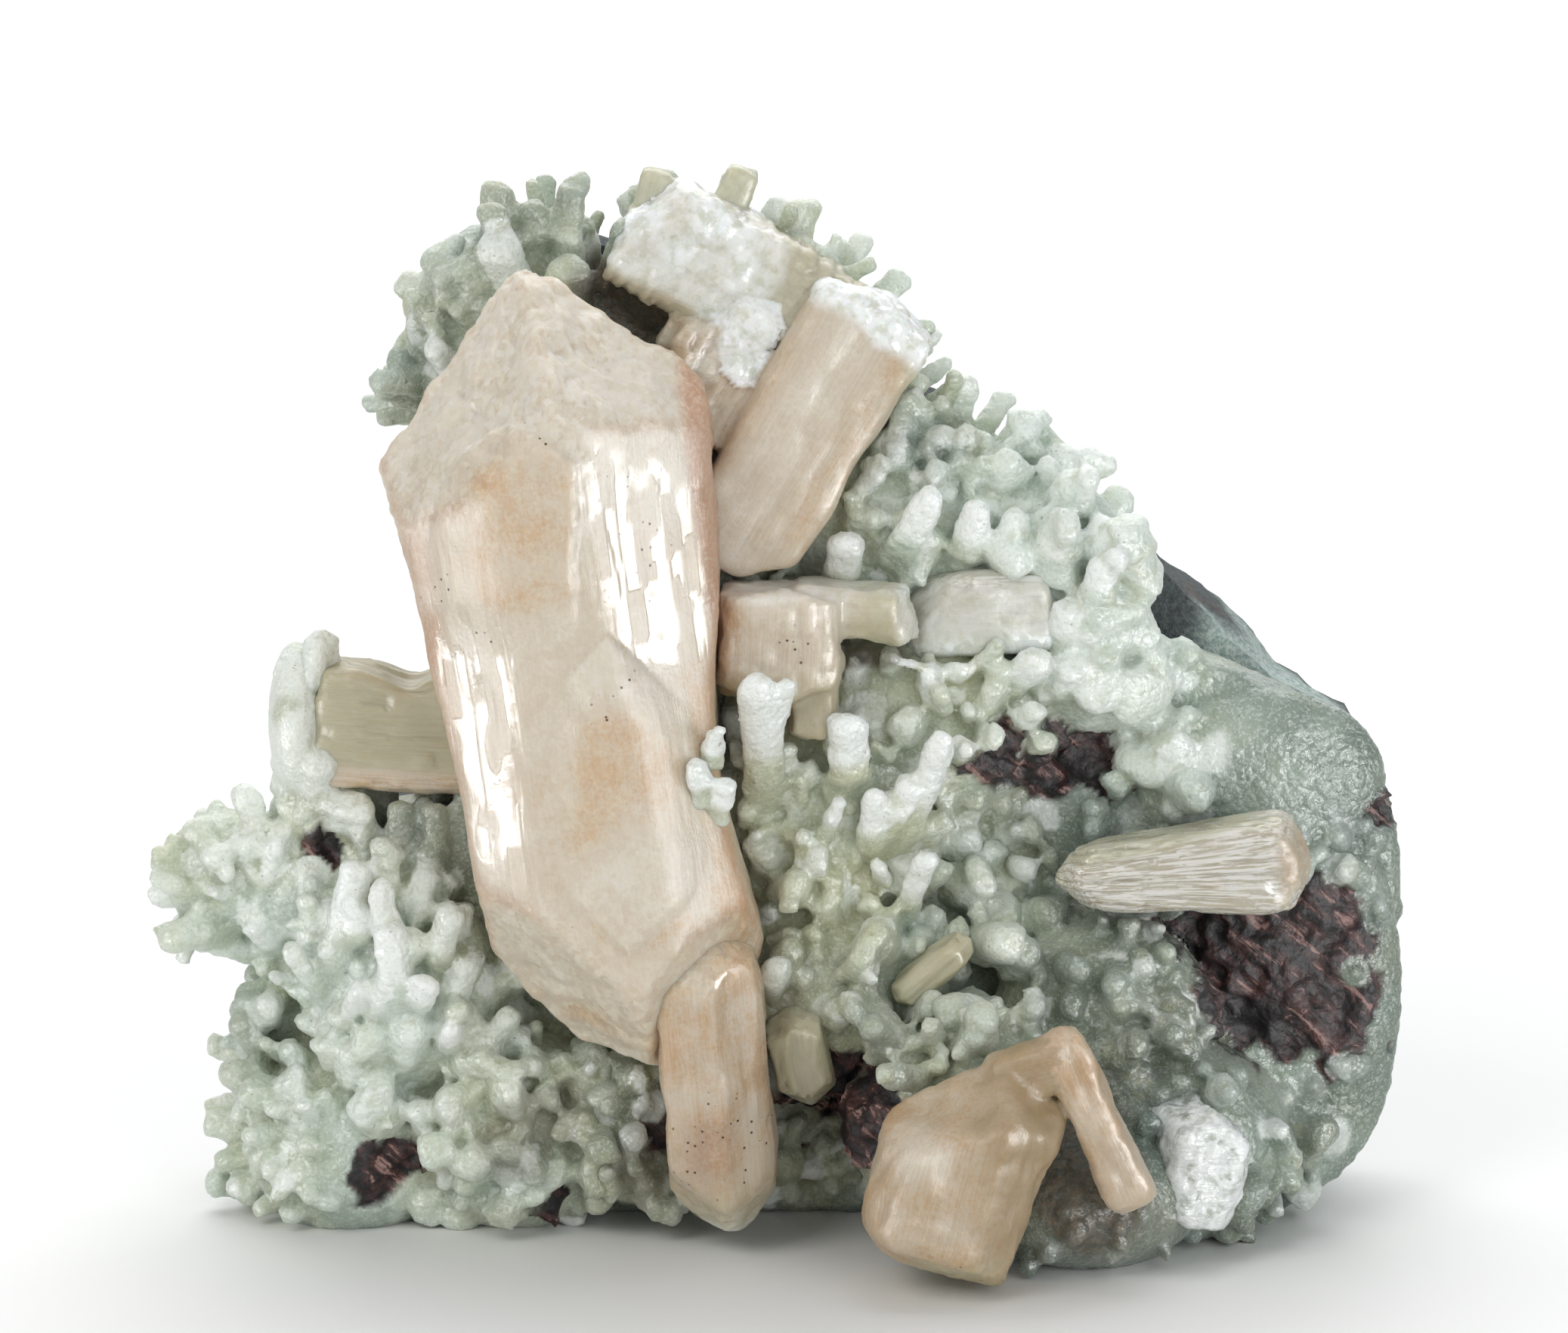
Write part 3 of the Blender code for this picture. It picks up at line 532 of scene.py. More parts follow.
def calciteFinish():
    # White sugary crystal: small tilted facets and fine scratches
    look = calciteLook
    finish, tree, shader = newFinish("calcite")
    place = inMillimetres(tree)
    fine = grainNoise(tree, place, 1.8, 4.0)
    scratch = grainNoise(tree, place, 1.0, 3.0, (0.6, 0.6, 3.0))
    clump = grainNoise(tree, place, 0.6, 4.0)
    colour = mixed(tree, spread(tree, clump, 0.34, 0.52), tint(look["shade"]), tint(look["white"]))
    colour = mixed(tree, spread(tree, scratch, 0.5, 0.7, (0.0, 0.25)), colour, tint(look["scratch"]))
    tree.links.new(colour, shader.inputs["Base Color"])
    shader.inputs["Roughness"].default_value = look["roughness"]
    translucent(shader, look, (1.0, 1.0, 1.0))
    cells = shaderNode(tree, "TexVoronoi", {"Vector": place, "Scale": look["facets"]})
    sugar = times(tree, tiltedFacets(tree, place, cells), look["facetTilt"])
    height = plus(tree, plus(tree, fine, scratch), sugar)
    bumped(tree, shader, height, look)
    return finish


# Crystals

def sideFace(azimuth, reach, flare=0.0):
    # A long face: its outward direction leans down as the crystal widens upwards
    turn = math.radians(azimuth)
    return ((math.cos(turn), math.sin(turn), -flare), reach, "side")


def endFace(azimuth, tip, drop, up=1):
    # A face of the pointed end: it falls away from the tip by drop for each millimetre out
    turn = math.radians(azimuth)
    return ((drop * math.cos(turn), drop * math.sin(turn), up), tip, "end")


def eightSides(width, depth, bevel, flare=0.0):
    faces = [sideFace(azimuth, width, flare) for azimuth in (0, 180)]
    faces += [sideFace(azimuth, depth, flare / 3) for azimuth in (90, 270)]
    return faces + [sideFace(azimuth, bevel, flare * 0.7) for azimuth in (45, 135, 225, 315)]


def fourEnds(tip, drop, up=1):
    return [endFace(azimuth, tip, drop, up) for azimuth in (45, 135, 225, 315)]


def crystalFrame(place, axis, right=(1, 0, 0)):
    # Where a crystal stands, and the directions of its right, its back and its length
    up = unit(np.array(axis, float))
    across = np.array(right, float)
    across = unit(across - (across @ up) * up)
    return np.array(place, float), np.stack([across, np.cross(up, across), up])


def blendedReach(distances, sharpness):
    # The nearest face wins, and near an edge a power mean of the distances rounds it off slightly
    nearest = distances.min(axis=0)
    powers = (nearest / distances) ** sharpness
    total = powers.sum(axis=0)
    return nearest * total ** (-1 / sharpness), powers / total


def lathRelief(across, along, seed, width, length):
    # Laths side by side: strips across the face, each at its own height and tilt, which break off along it
    bend = 0.4 * width * smoothNoise(np.stack([along, 0 * along, 0 * along], axis=1), 5 * width, seed)
    lane = np.floor((across + bend) / width)
    inside = (across + bend) / width - lane - 0.5
    broken = np.floor(along / length + 5 * hashed(seed, lane))
    height = hashed(seed + 1, lane, broken) - 0.5
    return height + 0.8 * (hashed(seed + 2, lane) - 0.5) * inside


def dressCrystal(spec, points, shares, faces, seed):
    # Adds each face's relief along the blended outward direction: laths on the sides, terraces and sugar at
    # the ends
    directions = unit(np.array([face[0] for face in faces], float))
    outward = unit(shares.T @ directions)
    relief = spec["waviness"] * layeredNoise(points, spec["waveGrain"], seed, 2)
    sugar = np.zeros(len(points))
    grit = layeredNoise(points, 0.9, seed + 50, 2)
    for number, ((_, _, kind), share) in enumerate(zip(faces, shares)):
        near = share > 0.02
        if not near.any():
            continue
        normal = directions[number]
        across = np.cross(normal, (0, 0, 1) if abs(normal[2]) < 0.98 else (1, 0, 0))
        across = across / np.linalg.norm(across)
        along = np.cross(across, normal)
        side, up = points[near] @ across, points[near] @ along
        if kind == "side":
            laths = lathRelief(side, up, seed + number, spec["lathWidth"], spec["lathLength"])
            thin = lathRelief(side, up, seed + 20 + number, spec["lathWidth"] / 3, spec["lathLength"] / 3)
            face = spec["lathStep"] * (laths + 0.35 * thin)
        else:
            terrace = np.floor(up / spec["terrace"] + 0.8 * smoothNoise(points[near], 3.0, seed + 30))
            face = spec["terraceStep"] * (hashed(seed + number, terrace) - 0.5)
            face += spec["sugar"] * grit[near]
            sugar[near] += share[near]
        relief[near] += share[near] * face
    edge = 1 - smoothStep(shares.max(axis=0), 0.55, 0.9)
    relief -= spec["chips"] * edge * smoothStep(layeredNoise(points, 2.0, seed + 60, 2), 0.1, 0.9)
    return points + outward * relief[:, None], outward, {"edge": edge, "sugar": np.clip(sugar, 0, 1)}


def projectedCrystal(spec, faces, spacing):
    # A stretched ball whose every point moves along its own ray until it meets the nearest face
    wide, deep, long = spec["stretch"]
    rows = max(12, int(2.6 * long / spacing))
    sides = max(16, int(math.pi * (wide + deep) / spacing))
    polar = (np.arange(rows) + 0.5) / rows * math.pi - math.pi / 2
    turn = np.arange(sides) / sides * 2 * math.pi
    polar, turn = np.meshgrid(polar, turn, indexing="ij")
    rays = np.stack([
        wide * np.cos(polar) * np.cos(turn),
        deep * np.cos(polar) * np.sin(turn),
        long * np.sin(polar),
    ], axis=-1).reshape(-1, 3)
    normals = np.array([face[0] for face in faces], float)
    reaches = np.array([face[1] for face in faces], float)
    facing = normals @ rays.T
    distances = np.where(facing > 1e-6, reaches[:, None] / np.maximum(facing, 1e-6), 1e6)
    reach, shares = blendedReach(distances, spec["sharpness"])
    return rays * reach[:, None], shares, (rows, sides)


# Each lobe that has been made: its place, directions, faces' directions and their reaches
standing = []

crystalDefaults = {
    "waviness": 0.25,
    "waveGrain": 5.0,
    "chips": 0.35,
    "lathWidth": 1.1,
    "lathLength": 9.0,
    "lathStep": 0.16,
    "terrace": 1.2,
    "terraceStep": 0.10,
    "sugar": 0.05,
    "sharpness": 20,
    "spacing": 0.28,
}


def placedLobe(lobe, spec, seed):
    # One lobe of a crystal, dressed and put where it stands, with its painted fields
    place, turn = crystalFrame(lobe["place"], lobe["axis"], lobe.get("right", (1, 0, 0)))
    values = spec | {"stretch": lobe["stretch"]} | lobe.get("relief", {})
    normals = np.array([face[0] for face in lobe["faces"]], float)
    standing.append((place, turn, normals, np.array([face[1] for face in lobe["faces"]], float)))
    points, shares, (rows, sides) = projectedCrystal(values, lobe["faces"], values["spacing"])
    points, outward, fields = dressCrystal(values, points, shares, lobe["faces"], seed)
    world = points @ turn + place
    fields["crystalPlace"] = points
    fields["outward"] = outward @ turn
    return world, (rows, sides), fields


def crystalPiece(name, node, finish, lobes, relief=None, seed=1, paint=None):
    # All lobes of one crystal in one piece. Given a lobe's number and points, paint fills in its fields and
    # returns the points, which it may move
    spec = crystalDefaults | (relief or {})
    surfaces, gathered = [], {}
    for number, lobe in enumerate(lobes):
        world, (rows, sides), fields = placedLobe(lobe, spec, seed + 100 * number)
        for key, value in (
            ("druse", 0), ("rust", 0), ("specks", 0), ("green", 0), ("tan", 0), ("gloss", 0.3),
            ("silkAndSheen", 0.15)
        ):
            fields[key] = np.full(len(world), float(value))
        fields["warmth"] = 0.42 + 0.28 * layeredNoise(world, 7.0, seed + 70, 2) + 0.3 * fields["edge"]
        if paint:
            world = paint(number, world, fields)
        surfaces.append(closedRings(world.reshape(rows, sides, 3)))
        del fields["outward"]
        for key, values in fields.items():
            gathered.setdefault(key, []).append(withEnds(values, rows, sides))
    fields = {key: np.concatenate(values) for key, values in gathered.items()}
    return makePiece(name, joined(surfaces), finish, node, fields)


def grownPiece(name, node, finish, lobes, relief, seed, voxel, paint):
    # Lobes that grew into one another: fused, and painted by the nearest lobe. paint gets each point's lobe
    spec = crystalDefaults | relief
    shells = []
    for number, lobe in enumerate(lobes):
        world, (rows, sides), _ = placedLobe(lobe, spec, seed + 100 * number)
        shells.append(closedRings(world.reshape(rows, sides, 3)))
    points, quads, outward = fused(shells, voxel, 1)
    home = np.zeros(len(points), int)
    best = np.full(len(points), 99.0)
    inner = np.zeros((len(points), 3))
    for number, (place, turn, normals, reaches) in enumerate(standing[-len(lobes):]):
        local = (points - place) @ turn.T
        distance = ((local @ normals.T - reaches) / np.linalg.norm(normals, axis=1)).max(axis=1)
        closer = distance < best
        best = np.where(closer, distance, best)
        home = np.where(closer, number, home)
        inner = np.where(closer[:, None], local, inner)
    edge = smoothStep(bulge(points, quads, outward, 2), 0.15, 0.6)
    fields = {key: np.zeros(len(points)) for key in ("druse", "rust", "specks", "green", "tan")}
    fields |= {
        "crystalPlace": inner, "edge": edge, "sugar": np.full(len(points), 0.4), "outward": outward
    }
    fields |= {"gloss": np.full(len(points), 0.3), "silkAndSheen": np.full(len(points), 0.2)}
    fields["warmth"] = 0.42 + 0.28 * layeredNoise(points, 7.0, seed + 70, 2) + 0.3 * edge
    moved = paint(home, points, fields)
    del fields["outward"]
    return makePiece(name, (moved, quads, np.zeros((0, 3), int)), finish, node, fields)


# The large crystal: a bow tie, so each long face comes in to a waist and out again along its length
mainCrystal = {
    "place": (-15.4, -13.0, 23.2),
    "axis": (-0.1305, 0, 0.9914),
    "waist": 22.0,
    "bottom": -5.39,
    "top": 71.2,
    "bottomOffset": 5.85,
    "centred": 12.0,
    "rows": 216,
    "sides": 228,
    "frontDensity": 0.38,
    "sharpness": 24,
    "softening": 2.5,
    # azimuth: reach at each of the heights
    "heights": (-6, 4, 9, 14, 21, 26, 31, 40, 48, 55, 59, 72),
    "reaches": {
        0: (16.2, 14.9, 14.1, 13.0, 12.2, 12.5, 13.1, 14.6, 14.8, 15.3, 15.6, 16.0),
        180: (10.6, 11.3, 11.7, 11.5, 11.6, 12.0, 12.5, 13.3, 13.8, 15.0, 15.6, 17.0),
        270: (11.5, 11.1, 10.9, 10.7, 10.5, 10.6, 10.8, 11.3, 11.7, 12.0, 12.2, 12.8),
        90: (10.4, 10.4, 10.4, 10.4, 10.4, 10.4, 10.5, 10.6, 10.7, 10.8, 10.8, 11.0),
        304: (14.2, 13.5, 13.0, 12.6, 12.0, 12.0, 12.0, 11.7, 11.8, 12.4, 13.0, 13.6),
        236: (12.2, 12.2, 12.2, 12.1, 12.0, 11.9, 11.8, 11.7, 12.4, 13.6, 14.6, 16.0),
        45: (16.4, 15.6, 15.0, 14.4, 13.8, 14.1, 14.4, 15.0, 15.4, 15.8, 16.0, 16.6),
        135: (13.8, 13.8, 13.8, 13.8, 13.8, 14.1, 14.4, 15.0, 15.4, 15.8, 16.0, 16.6),
    },
    # azimuth, tip, drop
    "roofs": (
        (312, 72.6, 1.24), (48, 72.6, 1.24), (228, 71.8, 1.60), (132, 71.8, 1.60), (330, 71.0, 0.50),
        (200, 71.1, 0.5),
    ),
    "soles": ((225, 7.0, 1.70), (135, 7.0, 1.70), (180, 3.4, 0.34), (315, 12.0, 1.60), (45, 12.0, 1.60)),
}


def convexHalf(way, ends):
    # One half of the bow tie as flat faces, each through its reaches at the waist and the end
    spec = mainCrystal
    waist = spec["waist"]
    end = 59 if way == 1 else -6
    faces = []
    for azimuth, reaches in spec["reaches"].items():
        near, far = np.interp((waist, end), spec["heights"], reaches)
        flare = (far - near) / (end - waist)
        faces.append(sideFace(azimuth, near - flare * waist, flare))
    faces += [endFace(*face, way) for face in ends] + [((0, 0, -way), 2 - way * waist, "end")]
    return np.array([face[0] for face in faces], float), np.array([face[1] for face in faces], float)


def largeCrystal(finish):
    # Rings round a centre line: every face's reach at a height over the cosine of the turn away from it
    spec = mainCrystal
    place, turnTo = crystalFrame(spec["place"], spec["axis"])
    rows, sides = spec["rows"], spec["sides"]
    share = (np.arange(rows) + 0.5) / rows
    level = spec["bottom"] + (spec["top"] - spec["bottom"]) * (share - 0.05 * np.sin(2 * math.pi * share))
    angle = np.arange(sides) / sides * 2 * math.pi
    angle = angle - spec["frontDensity"] * np.cos(angle)
    height, angle = (grid.ravel() for grid in np.meshgrid(level, angle, indexing="ij"))
    low = np.clip((spec["centred"] - height) / (spec["centred"] - spec["bottom"]), 0, 1)
    centre = spec["bottomOffset"] * low
    soften = np.linspace(-1, 1, 21) * spec["softening"]
    faces, distances = [], []
    for azimuth, reaches in spec["reaches"].items():
        turn = math.radians(azimuth)
        eased = np.mean([np.interp(level + step, spec["heights"], reaches) for step in soften], axis=0)
        wide = np.repeat(eased, sides)
        facing = np.cos(angle - turn)
        distances.append(
            np.where(facing > 0.02, (wide - centre * math.cos(turn)) / np.maximum(facing, 0.02), 1e6)
        )
        faces.append(sideFace(azimuth, 0))
    for ends, way in ((spec["roofs"], 1), (spec["soles"], -1)):
        standing.append((place, turnTo, *convexHalf(way, ends)))
        for azimuth, tip, drop in ends:
            turn = math.radians(azimuth)
            facing = drop * np.cos(angle - turn)
            room = tip - way * height - drop * centre * math.cos(turn)
            distances.append(np.where(facing > 0.02, room / np.maximum(facing, 0.02), 1e6))
            faces.append(endFace(azimuth, tip, drop, way))
    reach, shares = blendedReach(np.maximum(np.array(distances), 0.02), spec["sharpness"])
    points = np.stack([centre + reach * np.cos(angle), reach * np.sin(angle), height], axis=1)
    directions = unit(np.array([face[0] for face in faces], float))
    outward = unit(shares.T @ directions)
    rise, fields = mainRelief(points, outward, shares, faces)
    points = points + outward * rise[:, None]
    fields |= {"crystalPlace": points}
    world = points @ turnTo + place
    surface = closedRings(world.reshape(rows, sides, 3))
    fields = {key: withEnds(layer, rows, sides) for key, layer in fields.items()}
    return makePiece("large_crystal", surface, finish, "main_stilbite", fields)


def withEnds(layer, rows, sides):
    # A grid's field with a value for each of the two points that close it
    grid = layer.reshape(rows, sides, -1)
    ends = np.stack([grid[0].mean(axis=0), grid[-1].mean(axis=0)])
    whole = np.vstack([grid.reshape(rows * sides, -1), ends])
    return whole if layer.ndim == 2 else whole[:, 0]


# Groups of brown specks on the large crystal: across, height and radius in its own frame
speckSpots = (
    (6.2, 51.5, 2.6), (8.0, 47.5, 2.6), (8.5, 40.5, 1.8), (-11.0, 44.0, 3.0), (-8.0, 38.0, 3.0),
    (4.6, 33.8, 2.0), (2.8, 31.2, 1.8), (-9.0, 26.0, 2.0), (0.0, 57.0, 2.0), (-3.5, 10.5, 2.0),
    (9.0, 44.0, 3.0),
)


def mainRelief(points, outward, shares, faces):
    # Heights added along the outward direction, worked out from the place across and along the crystal: an
    # arched plate, the twin with its roof and pointed foot, laths on the glossy bevels, sugar on the roofs
    across, height = points[:, 0], points[:, 2]
    front = smoothStep(-outward[:, 1], 0.35, 0.75)
    bevels = sum(
        share for share, (direction, _, kind) in zip(shares, faces)
        if kind == "side" and abs(direction[0]) > 0.4 and direction[1] < -0.3
    )
    roof = sum(share for share, (_, _, kind) in zip(shares, faces) if kind == "end")
    wander = smoothNoise(points, 2.5, 90)
    arch = 58.4 - 0.115 * (across + 2) ** 2 + 0.4 * wander - height
    arch = np.minimum(arch, 1.7 + 0.13 * (height - 39) + 0.3 * wander - across)
    arch = 0.75 * smoothStep(arch, -0.1, 1.1) * smoothStep(across, -12, -8.5) * smoothStep(height, 37, 44)
    gable = np.where(across < 4.2, 0.8 * (4.2 - across), 1.34 * (across - 4.2))
    under = 38.2 - gable - height + 0.15 * wander
    point = np.where(across < 2.1, 1.33 * (2.1 - across), 0.65 * (across - 2.1))
    over = height - 7.1 - point + 0.2 * wander
    left = across - (-0.3 - 0.13 * (34.6 - height))
    right = np.interp(height, (8, 17, 31, 40), (6.5, 9.7, 9.8, 9.0)) - across
    roofed = 0.25 * smoothStep(under, 0, 0.5) + 0.75 * smoothStep(under, -0.5, 7.0)
    amount = np.interp(height, (7, 15, 24, 32, 38), (0.6, 0.9, 0.7, 1.2, 1.5))
    body = smoothStep(left, -2.0, 3.5) * smoothStep(right, -2.5, 4.0) * smoothStep(over, 0, 1.4)
    body = body * smoothStep(over, -0.5, 2.6)
    twin = amount * roofed * body
    rim = np.exp(-(over / 0.7) ** 2) * smoothStep(left, -1.5, 1.0) * smoothStep(right, -1.5, 1.0)
    laths = lathRelief(across, height, 3, 1.7, 17.0) + 0.4 * lathRelief(across, height, 4, 0.6, 6.0)
    sugar = layeredNoise(points, 1.6, 60, 2)
    lumps = smoothNoise(points, 4.2, 61) * smoothStep(height, 40, 58)
    rise = 0.22 * layeredNoise(points, 8.0, 62, 2) + front * (arch + twin)
    rise += 0.11 * bevels * laths * (1 - smoothStep(roof, 0.0, 0.2)) * (1 - smoothStep(height, 50, 56))
    rise += (0.10 + 0.10 * roof) * sugar * (1 - 0.8 * bevels) + 0.34 * lumps * (1 - bevels)
    scales = 1.8 * layeredNoise(points * (1, 1, 0.8), 3.4, 63, 3) + 0.03 * height
    scales = (np.floor(scales) + smoothStep(scales % 1, 0.0, 0.35)) / 1.8
    rise += 0.36 * scales * (1 - bevels) * smoothStep(height, 38, 50) * (
        1 - 0.7 * smoothStep(arch, 0.2, 0.7)
    )
    specks = np.zeros(len(points))
    for spotAcross, spotHeight, radius in speckSpots:
        apart = np.hypot(across - spotAcross, height - spotHeight)
        specks = np.maximum(specks, 1 - smoothStep(apart, 0.5 * radius, radius))
    leftEdge = smoothStep(-across, 9.5, 13.0) * smoothStep(height, 16, 30) * (
        1 - smoothStep(height, 46, 54)
    )
    rightEdge = smoothStep(across, 12.6, 14.2) * smoothStep(height, 22, 34)
    inArch = smoothStep(arch, 0.3, 0.75) * smoothStep(across, -9, -5) * (1 - smoothStep(height, 52, 57))
    warmth = 0.40 + 0.14 * layeredNoise(points, 6.0, 64, 2)
    warmth += 0.26 * inArch * smoothStep(wander, -1.6, -0.2)
    warmth += 0.42 * body * smoothStep(height, 16, 24) * (1 - smoothStep(height, 28, 35))
    warmth -= 0.30 * body * (1 - smoothStep(under, 4, 8)) * smoothStep(under, 0, 0.5)
    warmth -= 0.36 * smoothStep(scales % 0.56, 0.0, 0.3) * smoothStep(height, 44, 52) * (
        1 - smoothStep(arch, 0.1, 0.5)
    )
    warmth -= 0.22 * body * (1 - smoothStep(height, 15, 20))
    warmth += 0.22 * rim + 0.35 * smoothStep(across, 9, 12) * (1 - smoothStep(height, 32, 38))
    seam = np.exp(-((height + 1.0 - 0.45 * np.abs(across - 3)) / 2.0) ** 2)
    warmth += 0.35 * seam * smoothStep(-height, -6, -1)
    rust = np.clip(0.8 * leftEdge * (0.6 + 0.4 * wander) + 0.75 * rightEdge, 0, 1)
    gloss = bevels * smoothStep(
        layeredNoise(points * (1, 1, 0.45), 2.2, 65, 2) + 0.9 - 0.5 * roof, 0.2, 0.6
    )
    lanes = across / 1.3 + 0.25 * smoothNoise(points * (1, 1, 0.3), 2.0, 66)
    lane = np.floor(lanes)
    broken = np.floor(height / 5.5 + 7 * hashed(67, lane) + 0.15 * smoothNoise(points, 1.0, 68))
    crack = smoothStep(np.abs(lanes % 1 - 0.5), 0.40, 0.47) * (hashed(75, lane) > 0.4)
    gloss *= (0.06 + 0.94 * (hashed(69, lane, broken) > 0.24)) * (1 - 0.8 * crack)
    low = smoothStep(height + 1.5 * wander, 33, 35) * (
        1 - smoothStep(height + 0.5 * across + 2 * wander, 57, 59)
    )
    gloss *= np.where(across < 0, 1 - smoothStep(height + 1.5 * wander, 41, 43), low)
    edge = 1 - smoothStep(shares.max(axis=0), 0.55, 0.9)
    outline = edge * smoothStep(np.abs(outward[:, 0]), 0.35, 0.7)
    # silkAndSheen paints a pearl sheen, more on the glossy bevels
    fields = {
        "warmth": np.clip(warmth, 0, 1), "rust": np.maximum(rust, 0.36 * outline),
        "specks": specks * front,
        "sugar": np.clip(roof + 0.5 * (1 - bevels), 0, 1), "gloss": gloss, "silkAndSheen": 0.05 + 0.12 * bevels,
    }
    return rise, fields


def footCrystal(finish):
    # The column that grew on the lower end of the large crystal
    faces = [sideFace(azimuth, reach) for azimuth, reach in (
        (0, 5.0), (180, 5.0), (90, 5.4), (262, 5.3), (302, 4.7), (222, 6.2), (45, 6.3), (135, 6.3),
    )]
    faces += [
        endFace(0, 17.6, 0.7), endFace(270, 18.4, 1.1), endFace(180, 18.6, 1.5), endFace(90, 18.4, 1.1)
    ]
    faces += fourEnds(16.6, 1.7, -1) + [endFace(180, 14.6, 0.45, -1), endFace(270, 14.8, 0.2, -1)]
    lobe = {
        "place": (-6.3, -14.9, 16.0), "axis": (-0.084, -0.205, 0.966), "faces": faces,
        "stretch": (5.2, 5.4, 16),
    }
    relief = {
        "lathStep": 0.22, "lathWidth": 1.3, "lathLength": 20, "waviness": 0.35, "sharpness": 26,
        "spacing": 0.38,
    }

    def paint(number, world, fields):
        x, z = world[:, 0], world[:, 2]
        patch = np.hypot((x + 7.0) / 3.0, (z - 11.5) / 4.5)
        fields["rust"] = 0.55 * (1 - smoothStep(patch, 0.3, 1.3))
        fields["specks"] = 1 - smoothStep(np.hypot(x + 6.0, z - 12.0), 4.0, 7.0)
        fields["warmth"] = np.clip(
            0.75 - 0.6 * smoothStep(-z, -8, -2) + 0.2 * smoothNoise(world, 4.0, 93), 0, 1
        )
        fields["green"] = 0.6 * smoothStep(-z, -9, -2)
        fields["druse"] = 0.5 * smoothStep(-z - 1.2 * smoothNoise(world, 2.0, 95), -5, -2)
        fields["tan"] = 0.10 + 0.2 * smoothStep(-z, -16, -6)
        fields["gloss"] = smoothStep(z, 12, 16) * smoothStep(
            smoothNoise(world * (1, 1, 0.3), 1.6, 94), -0.3, 0.1
        )
        return world

    crystalPiece("foot_crystal", "main_stilbite", finish, (lobe,), relief, 11, paint)


def druseCoat(world, outward, mask, seed):
    # A sugary coat: tilted facets round scattered seeds on soft lumps, raised where the mask says
    distance, share, apart = nearestSeed(world, 1.3, seed)
    lean = apart[:, 0] * (share - 0.5) + apart[:, 2] * (hashed(seed, np.floor(share * 9999)) - 0.5)
    rise = 0.5 + 0.3 * (1 - distance) + 0.9 * lean + 0.8 * layeredNoise(world, 3.6, seed + 9, 2)
    return world + outward * (mask * rise * 0.55)[:, None]


